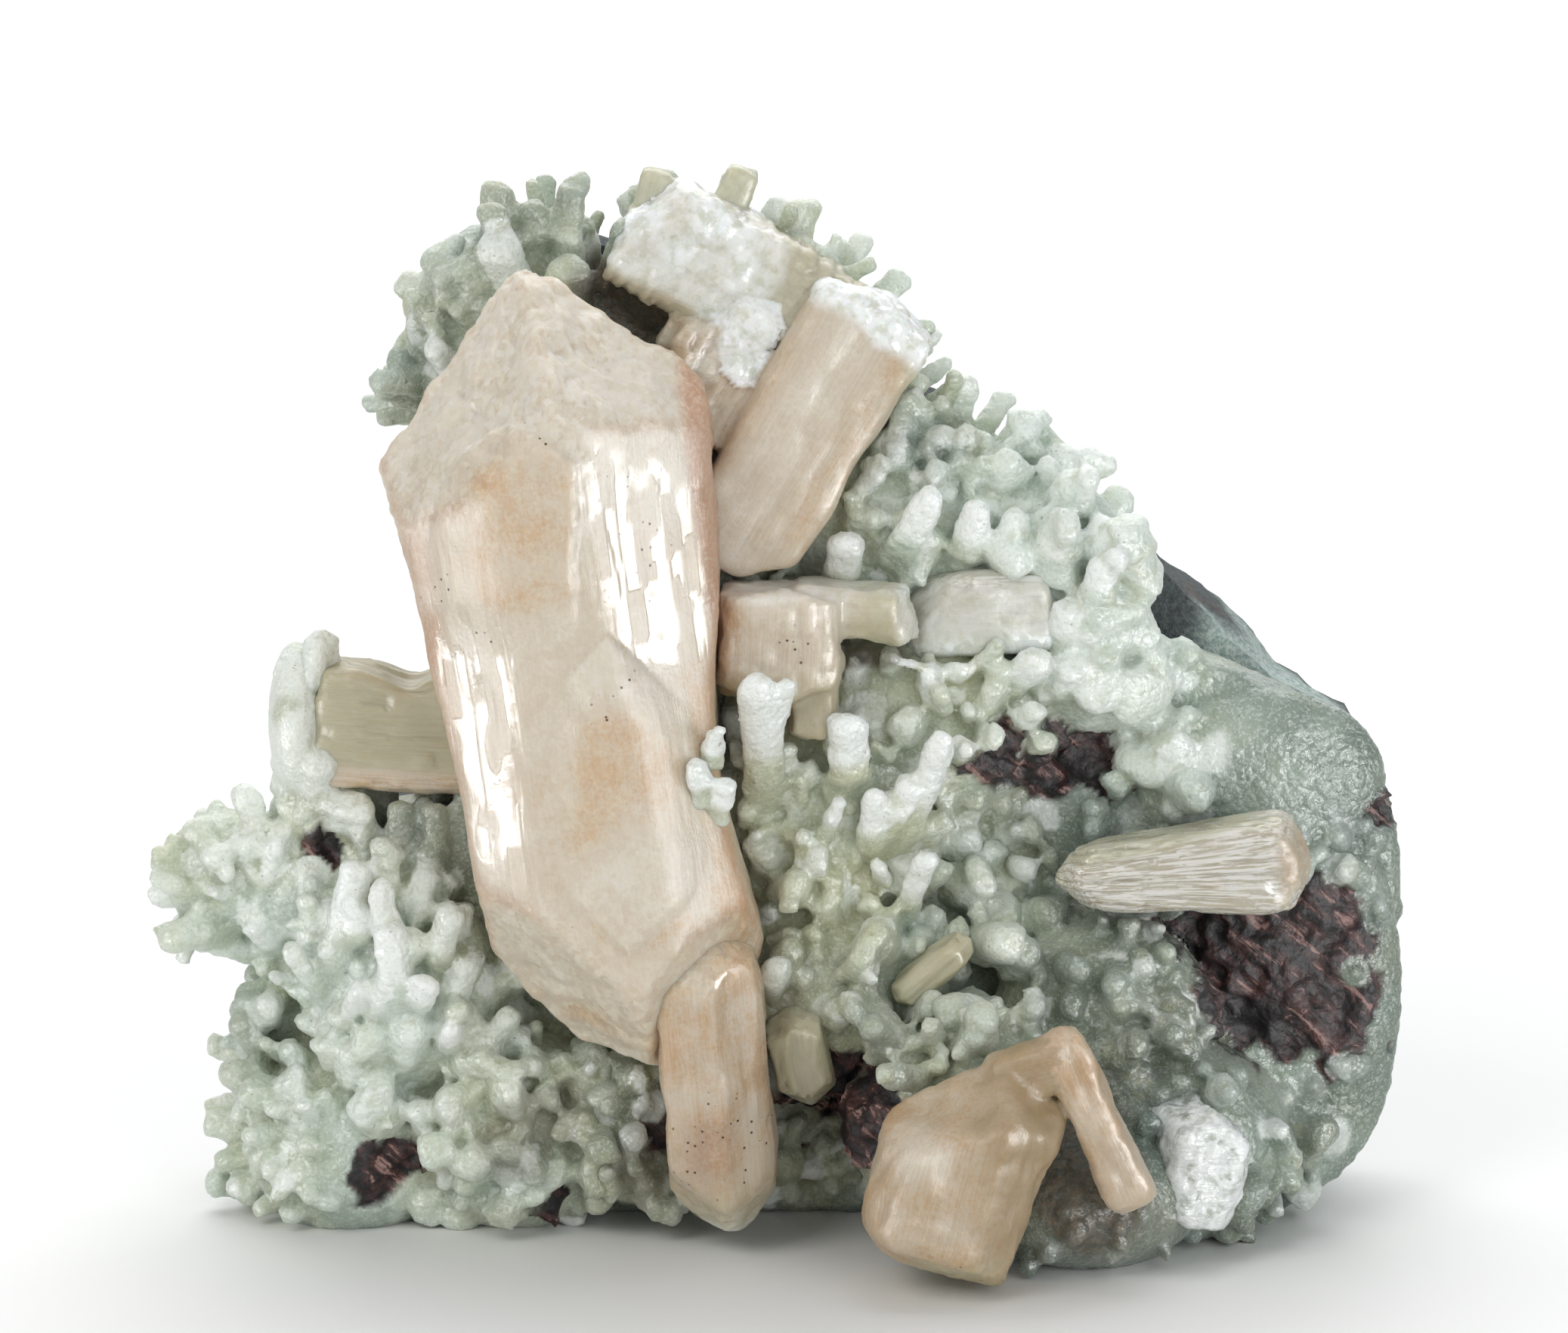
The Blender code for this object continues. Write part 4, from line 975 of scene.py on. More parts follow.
def upperCluster(finish):
    prismFaces = eightSides(6.0, 5.6, 7.6) + fourEnds(15.2, 0.28)
    prismFaces += [endFace(180, 14.6, 0.2, -1), endFace(0, 15.6, 0.75, -1)]
    slabFaces = eightSides(5.6, 4.8, 6.7) + fourEnds(11.6, 0.35)
    slabFaces += [endFace(225, 11.8, 0.85, -1), endFace(135, 11.8, 0.85, -1), endFace(0, 11.2, 0.15, -1)]
    wedgeFaces = eightSides(3.2, 3.0, 3.9) + fourEnds(5.4, 0.7) + [endFace(0, 6.0, 0.0, -1)]
    lumpFaces = eightSides(3.0, 2.4, 3.2) + fourEnds(3.3, 0.6) + fourEnds(3.3, 0.6, -1)
    sprigFaces = eightSides(1.5, 1.5, 1.8) + fourEnds(3.2, 0.3) + fourEnds(3.6, 0.3, -1)
    fillFaces = eightSides(3.8, 3.2, 4.4) + fourEnds(4.8, 0.5) + fourEnds(4.8, 0.5, -1)
    lobes = (
        {
            "place": (1.9, -4.0, 77.9), "axis": (0.508, 0, 0.862), "faces": prismFaces,
            "stretch": (6, 5.6, 14),
            "relief": {
                "lathStep": 0.2, "lathWidth": 1.1, "lathLength": 12, "sharpness": 40, "waviness": 0.4
            },
        },
        {
            "place": (-5.3, -1.6, 92.5), "axis": (0.878, 0, -0.479), "right": (0, 0, -1),
            "faces": slabFaces, "stretch": (5.6, 4.8, 11), "relief": {"waviness": 0.5},
        },
        {
            "place": (-7.2, -4.5, 85.4), "axis": (-0.95, -0.1, 0.2), "right": (0, 0, 1),
            "faces": wedgeFaces, "stretch": (3.2, 3.0, 5.5), "relief": {"waviness": 0.6, "waveGrain": 3.0},
        },
        {"place": (-3.2, -5.4, 88.0), "axis": (0.3, 0, -1), "faces": lumpFaces, "stretch": (3, 2.6, 3)},
        {"place": (-3.6, -5.0, 84.6), "axis": (0.3, 0, 1), "faces": lumpFaces, "stretch": (3, 2.6, 3)},
        {
            "place": (-12.6, -1.0, 99.4), "axis": (0.3, 0, 1), "faces": sprigFaces,
            "stretch": (1.5, 1.5, 3),
        },
        {
            "place": (-4.8, -0.6, 99.6), "axis": (0.45, 0, 1), "faces": sprigFaces,
            "stretch": (1.5, 1.5, 3),
        },
        {
            "place": (-5.2, -4.2, 80.2), "axis": (0.5, 0, 1), "faces": fillFaces,
            "stretch": (3.6, 3.2, 4.6),
        },
        {
            "place": (3.4, -3.6, 89.4), "axis": (0.9, 0, -0.4), "faces": fillFaces,
            "stretch": (3.6, 3.2, 4.6),
        },
    )

    def paint(home, points, fields):
        x, z = points[:, 0], points[:, 2]
        across, height = fields["crystalPlace"][:, 0], fields["crystalPlace"][:, 2]
        wander = smoothNoise(points, 3.0, 61)
        patches = smoothStep(layeredNoise(points, 3.4, 62, 2), -0.6, 0.4)
        prism, slab, wedge, lump = home == 0, home == 1, home == 2, (home == 3) | (home == 4)
        sprig, seam, shoulder = (home == 5) | (home == 6), home == 7, home == 8
        cap = smoothStep(height + wander, 10.8, 12.6)
        cap = np.maximum(cap, 0.8 * smoothStep(x - 0.45 * (z - 85) + wander, 13.2, 14.6))
        left = 1 - smoothStep(x + 1.5 * wander, -3.5, 0.5)
        low = smoothStep(across + 0.6 * wander, 3.4, 4.8)
        coat = np.maximum(left * (0.55 + 0.45 * patches) * (1 - low), 0.15 * patches)
        mask = np.select(
            [prism, slab, wedge, lump], [cap, coat, 0.3 * patches, 0.85 + 0.15 * patches], 0.15
        )
        mask = np.maximum(
            mask, 0.9 * (1 - smoothStep(np.hypot(x + 3.4, z - 86.4) + 0.6 * wander, 2.4, 3.4)) * ~prism
        )
        fields["druse"] = mask
        stripe = smoothStep(np.abs(across + 1.0 + 0.8 * wander), 0.8, 5.0)
        fields["warmth"] = np.select(
            [prism, wedge | seam, sprig], [0.25 + 0.35 * stripe, 0.7 + 0.3 * wander, 0.4], 0.4
        )
        olive = 0.35 + 0.3 * (1 - left)
        side = 0.55 * smoothStep(across + wander, 4.0, 6.0) * smoothStep(height, 4, 12)
        fields["green"] = np.select([prism, slab | shoulder, sprig], [side, olive, 0.75], 0.15)
        fields["tan"] = np.select([prism, sprig], [0.04 + 0.10 * stripe, 0.05], 0.42 * (1 - mask))
        joint = np.exp(-((z - 87.2 - 0.35 * (x + 4) + wander) / 1.5) ** 2) * ~prism
        fields["rust"] = np.clip(0.5 * joint + 0.3 * seam, 0, 0.5) * (1 - mask)
        fields["silkAndSheen"] = np.where(prism, 0.14, 0.35)
        fields["sugar"] = np.clip(0.4 + mask, 0, 1)
        points = druseCoat(points, fields["outward"], mask, 71)
        blades = lathRelief(x - 0.6 * z, z, 74, 0.8, 3.0) * (slab | shoulder | wedge | seam) * (1 - mask)
        return points + fields["outward"] * (0.45 * blades)[:, None]

    relief = {"spacing": 0.4, "sharpness": 26}
    grownPiece(
        "upper_crystals", "upper_stilbite_cluster", finish, lobes, relief, 23, 0.36, paint
    )


def leftBar(finish):
    faces = eightSides(5.7, 4.9, 7.0) + [endFace(0, 9.5, 0.1)]
    faces += [endFace(225, 8.6, 0.15, -1), endFace(135, 8.6, 0.15, -1)]
    bar = {
        "place": (-36.5, -3.2, 49.3), "axis": (1, 0, -0.06), "right": (0, 0, -1), "faces": faces,
        "stretch": (5.7, 4.9, 9),
    }

    def paint(number, world, fields):
        low = fields["crystalPlace"][:, 0]
        wander = 0.8 * smoothNoise(world * (0.3, 1, 1), 2.0, 63)
        peach = smoothStep(low + wander, 2.8, 3.8)
        fields["green"] = 0.75 * (1 - peach) * (0.8 + 0.25 * wander)
        fields["warmth"] = 0.35 + 0.35 * peach
        fields["tan"] = 0.3 + 0.15 * wander
        fields["rust"] = 0.3 * peach * smoothStep(wander, 0.0, 0.5)
        fields["silkAndSheen"] = 0.35 + 0.5 * smoothStep(wander, -0.1, 0.5)
        sag = 1.1 * np.exp(-((world[:, 0] + 35.5) / 2.5) ** 2) * smoothStep(-low, 3.5, 5.5)
        return world - np.stack([0 * sag, 0 * sag, sag], axis=1)

    relief = {"lathWidth": 1.4, "lathStep": 0.42, "lathLength": 16, "waviness": 0.4}
    crystalPiece("left_crystal", "left_stilbite_bar", finish, (bar,), relief, 31, paint)


def middleBlock(finish):
    faces = eightSides(5.7, 5.6, 7.2) + [
        endFace(225, 5.9, 0.12), endFace(315, 5.9, 0.10), endFace(90, 6.4, 0.3)
    ]
    faces += fourEnds(6.6, 0.45, -1)
    ledge = eightSides(2.3, 4.4, 4.4) + [
        endFace(225, 5.4, 0.5), endFace(135, 5.4, 0.5), endFace(0, 6.0, 0.0, -1)
    ]
    columnFaces = eightSides(2.4, 2.6, 3.2) + fourEnds(4.6, 0.3) + fourEnds(4.4, 0.3, -1)
    lobes = (
        {"place": (-0.4, -8.5, 58.2), "axis": (0.05, 0, 1), "faces": faces, "stretch": (5.7, 5.6, 6)},
        {
            "place": (6.9, -7.4, 61.3), "axis": (1, 0, -0.1), "right": (0, 0, -1), "faces": ledge,
            "stretch": (2.4, 4.2, 5.6),
        },
        {
            "place": (2.8, -10.0, 53.6), "axis": (0, 0, 1), "faces": columnFaces,
            "stretch": (2.4, 2.6, 4.4),
        },
    )

    def paint(home, points, fields):
        x, z = points[:, 0], points[:, 2]
        wander = smoothNoise(points, 2.4, 64)
        fields["warmth"] = 0.42 + 0.35 * smoothStep(-x - wander, 1.0, 5.5) - 0.35 * smoothStep(
            z + wander, 60.5, 63.5
        )
        fields["rust"] = 0.35 * smoothStep(-x - wander, 4.0, 6.0)
        fields["specks"] = 1 - smoothStep(np.hypot(x - 1.0, z - 58.5), 1.0, 3.0)
        low = 1 - smoothStep(z + wander, 53.5, 57.0)
        fields["green"] = 0.6 * smoothStep(x + wander, 4.0, 9.0) + 0.4 * low
        # The tan band just under the ledge is painted shade
        fields["tan"] = 0.1 + 0.3 * low + 0.3 * np.exp(-((z - 60.2) / 1.0) ** 2) * smoothStep(x, 5, 6.5)
        fields["druse"] = 0.35 * smoothStep(z + 0.6 * wander, 62.6, 63.6) + 0.5 * smoothStep(
            x + wander, 10.0, 12.0
        )
        steps = np.floor(2.2 * layeredNoise(points, 4.0, 73, 2) + 0.25 * z)
        rise = 0.22 * (hashed(74, steps) - 0.5) + 0.15 * smoothNoise(points, 2.0, 75)
        return points + fields["outward"] * rise[:, None]

    relief = {"lathStep": 0.35, "waviness": 0.5, "sharpness": 50, "chips": 0.5}
    grownPiece("middle_crystal", "middle_stilbite", finish, lobes, relief, 41, 0.38, paint)


def buriedCrystal(finish):
    faces = eightSides(3.9, 3.9, 5.0) + [
        endFace(225, 7.4, 0.3), endFace(315, 7.4, 0.3), endFace(90, 7.4, 0.3)
    ]
    faces += [endFace(225, 8.0, 1.1, -1), endFace(315, 9.0, 0.5, -1), endFace(90, 8.0, 0.6, -1)]
    lobe = {
        "place": (19.2, -3.0, 60.4), "axis": (1, 0, 0.04), "right": (0, 0, -1), "faces": faces,
        "stretch": (3.9, 3.9, 8),
    }

    def paint(number, world, fields):
        low = fields["crystalPlace"][:, 0]
        wander = smoothNoise(world, 2.2, 65)
        top = 1 - smoothStep(low + 0.3 * wander, -3.2, -2.5)
        # The top bar is painted pearl white: a painted highlight on its upward face, glossy as well
        fields["silkAndSheen"] = 0.15 + 0.85 * top
        fields["gloss"] = top
        fields["green"] = 0.12 + 0.3 * smoothStep(low + wander, 1, 3)
        fields["warmth"] = 0.05 + 0.3 * smoothStep(wander, -0.4, 0.6) * (1 - top)
        fields["druse"] = (0.25 + 0.5 * smoothStep(low + 1.5 * wander, 1.0, 3.0)) * (1 - top)
        return druseCoat(world, fields["outward"], 0.6 * fields["druse"], 87)

    relief = {"lathWidth": 0.8, "lathStep": 0.2, "waviness": 0.45, "sharpness": 14}
    crystalPiece("buried_crystal", "buried_stilbite", finish, (lobe,), relief, 43, paint)


def sheaf(finish):
    # Fibres fan out from the left end, silky white, partly a painted sheen, until the tan right end
    faces = eightSides(4.1, 3.7, 4.8, 0.015) + fourEnds(13.4, 0.85) + fourEnds(13.4, 1.1, -1)
    lobe = {
        "place": (38.0, -8.0, 36.3), "axis": (0.997, 0, 0.08), "right": (0, 0, -1), "faces": faces,
        "stretch": (4.1, 3.7, 13),
    }

    def paint(number, world, fields):
        place = fields["crystalPlace"]
        along = place[:, 2]
        fan = 0.98 + 0.020 * along
        wander = smoothNoise(world, 2.5, 66)
        centre = np.stack(
            [world[:, 0], 0 * along + lobe["place"][1], lobe["place"][2] + 0.08 * along], axis=1
        )
        moved = centre + (world - centre) * fan[:, None]
        fields["crystalPlace"] = place / np.stack([fan, fan, np.ones(len(fan))], axis=1)
        tan = smoothStep(along + 1.6 * wander, 8.6, 11.0)
        olive = np.maximum(
            smoothStep(-place[:, 0] - 0.12 * along + 0.6 * wander, 2.6, 3.6), smoothStep(-along, 10, 13)
        )
        fields["silkAndSheen"] = 0.95 * (1 - tan) * (1 - 0.5 * olive)
        fields["gloss"] = 1 - tan
        fields["warmth"] = 0.5 + 0.3 * tan + 0.15 * wander
        fields["green"] = 0.35 * olive
        fields["rust"] = 0.25 * tan * smoothStep(wander, 0.1, 0.7)
        split = np.abs(np.sin(3.0 * place[:, 0] + 1.4 * smoothNoise(place * (1, 1, 0.15), 1.5, 67)))
        cut = 0.35 * (1 - tan) * (1 - smoothStep(split, 0.0, 0.5))
        return moved - fields["outward"] * cut[:, None]

    relief = {"lathWidth": 0.6, "lathStep": 0.30, "lathLength": 12.0, "spacing": 0.27, "sharpness": 16}
    crystalPiece(
        "sheaf_crystal", "right_stilbite_sheaf", finish, (lobe,), relief, 47, paint
    )


def lowerRight(finish):
    # A rounded dome and the blade that leans on it, joined at the top
    domeFaces = [
        sideFace(0, 7.6, 0.10), sideFace(180, 7.9, 0.08), sideFace(270, 8.2, 0.05), sideFace(90, 8.2),
        sideFace(225, 9.0, 0.08), sideFace(315, 8.4, 0.08), sideFace(45, 9.4, 0.08),
        sideFace(135, 9.6, 0.08), endFace(225, 11.2, 1.15), endFace(135, 11.2, 1.15),
        endFace(315, 13.0, 0.85), endFace(45, 13.0, 0.85), endFace(180, 11.4, 0.95),
        endFace(0, 10.6, 0.15, -1), endFace(270, 10.6, 0.30, -1), endFace(180, 11.6, 0.60, -1),
    ]
    bladeFaces = eightSides(2.1, 2.8, 3.1) + fourEnds(9.4, 0.6) + fourEnds(10.2, 0.6, -1)
    saddleFaces = eightSides(2.4, 2.9, 3.3) + fourEnds(5.0, 0.5) + fourEnds(5.0, 0.5, -1)
    lobes = (
        {
            "place": (16.4, -26.0, 11.6), "axis": (0.26, 0.12, 0.96), "faces": domeFaces,
            "stretch": (8, 8, 10), "relief": {"waviness": 0.4, "sharpness": 20},
        },
        {
            "place": (28.9, -25.4, 16.6), "axis": (-0.42, 0.08, 0.905), "right": (0.86, 0, 0.5),
            "faces": bladeFaces, "stretch": (2.1, 2.8, 9.5), "relief": {"sharpness": 34, "waviness": 0.3},
        },
        {
            "place": (23.0, -24.8, 20.8), "axis": (0.96, 0, 0.27), "right": (0, 0, -1),
            "faces": saddleFaces, "stretch": (2.4, 3.0, 4.2), "relief": {"sharpness": 20, "waviness": 0.4},
        },
    )

    def paint(home, points, fields):
        x, z = points[:, 0], points[:, 2]
        wander = smoothNoise(points, 3.5, 68)
        blade = home == 1
        # pale is a painted highlight band across the dome's front left
        pale = np.exp(-(((x - 12.5) / 3.4) ** 2 + ((z - 14.6) / 1.8) ** 2)) * ~blade
        seam = np.exp(-((x - 22.8 - 0.5 * (z - 20)) / 1.6) ** 2) * smoothStep(z, 15, 18)
        rising = 0.55 + 0.3 * smoothStep(z, 14, 20)
        fields["warmth"] = np.where(blade, rising, 0.80 - 0.6 * pale) + 0.14 * wander
        fields["rust"] = 0.25 * smoothStep(wander + 0.6 * fields["edge"], 0.1, 0.9) + 0.3 * seam
        # Painted shade: browner towards the dome's right side, and less tan in the painted highlight band,
        # over the dome's own tan
        tanAndPaintedShade = 0.40 - 0.45 * pale + 0.35 * smoothStep(x + wander, 15, 22)
        fields["tan"] = np.where(blade, 0.28, tanAndPaintedShade) + 0.12 * wander
        fields["green"] = 0.6 * (1 - smoothStep(z + wander, 1.5, 5.5)) * ~blade
        fields["specks"] = 1 - smoothStep(z + wander, 3, 6)
        fields["sugar"] = 0.25 + 0.6 * (1 - smoothStep(z, 3, 7))
        fields["gloss"] = 0.2 * smoothStep(layeredNoise(points, 4.0, 72, 2), -0.2, 0.4)
        rise = 0.4 * layeredNoise(points, 4.5, 70, 3) + 0.10 * np.floor(
            2 * layeredNoise(points, 5.0, 71, 2)
        )
        return points + fields["outward"] * rise[:, None]

    relief = {"spacing": 0.4}
    grownPiece(
        "lower_crystal", "lower_right_stilbite", finish, lobes, relief, 53, 0.42, paint
    )


def smallBlades(finish):
    def paint(number, world, fields):
        wander = smoothNoise(world, 2.0, 69)
        fields["green"] = 0.6 + 0.15 * wander
        fields["tan"] = 0.22 + 0.12 * wander
        fields["warmth"] = 0.4 + 0.2 * wander
        fields["silkAndSheen"] = 0.3 + 0.3 * wander
        return world

    faces = eightSides(2.7, 3.2, 3.7) + fourEnds(5.6, 0.7) + fourEnds(5.8, 1.0, -1)
    low = {
        "place": (1.6, -9.6, 18.7), "axis": (-0.20, -0.25, 0.95), "faces": faces,
        "stretch": (2.7, 3.2, 5.7),
    }
    relief = {"lathWidth": 0.7, "lathStep": 0.3, "chips": 0.7, "sharpness": 30}
    crystalPiece("low_blade", "low_stilbite_blade", finish, (low,), relief, 59, paint)
    faces = eightSides(1.4, 2.4, 2.3) + fourEnds(5.2, 0.8) + fourEnds(5.0, 0.8, -1)
    high = {
        "place": (14.2, -10.6, 27.1), "axis": (0.72, -0.2, 0.66), "right": (0.66, 0, -0.72),
        "faces": faces, "stretch": (1.4, 2.4, 5.1),
    }
    crystalPiece("high_blade", "high_stilbite_blade", finish, (high,), relief, 61, paint)


def whiteCrystal(finish):
    faces = [
        sideFace(0, 3.9, 0.03), sideFace(180, 3.7, -0.02), sideFace(262, 5.4, -0.08), sideFace(90, 6.0),
        sideFace(318, 5.2, 0.08), sideFace(215, 5.2), endFace(0, 5.6, 0.75), endFace(180, 5.6, 0.60),
        endFace(270, 6.4, 0.35), endFace(0, 6.0, 0.25, -1), endFace(180, 6.0, 0.80, -1),
        endFace(270, 6.4, 0.30, -1),
    ]
    lobe = {
        "place": (38.8, -15.0, 9.8), "axis": (0.18, -0.12, 0.97), "right": (0.9, 0.3, -0.2),
        "faces": faces, "stretch": (4, 5, 6),
    }
    relief = {
        "lathWidth": 0.7, "lathStep": 0.25, "sugar": 0.12, "terrace": 0.7, "terraceStep": 0.2,
        "sharpness": 60,
    }

    def paint(number, world, fields):
        return druseCoat(world, fields["outward"], np.full(len(world), 1.0), 83)

    crystalPiece("white_crystal", "white_calcite", finish, (lobe,), relief, 67, paint)


# The crust: pads of chalcedony, swellings on them and the fingers that grow from both

crust = {
    "front": 1.0,
    "back": 8.0,
    "voxel": 0.42,
    "smoothing": 2,
    "fingerSides": 12,
    "fingerRings": 14,
    "rootDepth": 2.5,
    "lift": 2.2,
    "shallow": 0.5,
    "padPoints": 160,
    "padRows": 12,
}

# Outlines of the overlapping pads as (x, z), clockwise from the front
pads = {
    "left": (
        (-52, 0), (-52, 4), (-50, 9), (-52, 15), (-49, 21), (-51, 27), (-56, 29), (-57, 35), (-52, 38),
        (-44, 39), (-34, 41), (-27, 47), (-18, 47), (-15, 30), (-15, 10), (-15, 0),
    ),
    "top": (
        (-22, 44), (-27, 50), (-27, 64), (-31, 73), (-35, 80), (-34, 85), (-31, 91), (-27, 95),
        (-21, 96), (-18, 93), (-12, 96), (-4, 97), (3, 93), (11, 88), (12, 80), (14, 70), (10, 58),
        (0, 48),
    ),
    "right": (
        (8, 52), (10, 70), (12, 80), (18, 77), (25, 73), (31, 66), (33, 60), (37, 56), (43, 54),
        (51, 50), (56, 47), (59, 40), (60, 30), (58, 24), (26, 24), (10, 32),
    ),
    "low": (
        (-18, 0), (-19, 20), (-18, 48), (0, 54), (12, 42), (20, 36), (18, 20), (16, 0),
    ),
    "corner": (
        (13, 0), (14, 20), (16, 37), (26, 34), (59.5, 33), (57, 17), (53, 8), (49, 0),
    ),
}

# The whole crust's outline
crustOutline = (
    (-52, 0), (-52, 4), (-50, 9), (-52, 15), (-49, 21), (-51, 27), (-56, 29), (-57, 35), (-52, 38),
    (-44, 39), (-34, 41), (-27, 48), (-27, 64), (-31, 73), (-35, 80), (-34, 85), (-31, 91), (-27, 95),
    (-21, 96), (-18, 93), (-12, 96), (-4, 97), (3, 93), (11, 88), (12, 80), (18, 77), (25, 73),
    (31, 66), (33, 60), (37, 56), (43, 54), (51, 50), (56, 47), (59, 40), (60, 30), (57, 17), (53, 8),
    (49, 0),
)
# Swellings: pad, centre and radii
swellings = (
    ("corner", (28, -8, 6), (13, 17, 8)), ("corner", (17, -8, 12), (11, 14, 11)),
    ("corner", (37, -4, 9), (12, 12, 10)), ("corner", (31, -2, 20), (11, 8, 10)),
    ("corner", (50, 1, 22), (10, 4, 20)), ("right", (46, 1, 43), (12, 4, 9)),
    ("right", (29, 0.5, 56), (7, 5.5, 8)), ("right", (25, 0, 65), (8, 5, 8)),
    ("right", (12, 1, 68), (12, 4, 9)), ("right", (14, 1, 50), (13, 8, 10)),
    ("low", (4, 1, 40), (12, 9.5, 14)), ("low", (3, -1, 23), (13, 10, 11)),
    ("low", (-13, -2, 11), (10, 9, 9)), ("left", (-26, -1, 9), (10, 8, 10)),
    ("left", (-42, 0, 8), (10, 8, 10)), ("left", (-36, 0, 24), (11, 10, 11)),
    ("left", (-45, 1, 34), (9, 6, 7)), ("left", (-54, 1, 34), (6, 5, 6)),
    ("top", (-27, 1, 86), (9, 6, 11)), ("top", (-5, 2, 91), (11, 5, 6)),
    ("left", (-46.4, -4, 50), (2.8, 5.5, 7.5)),
)

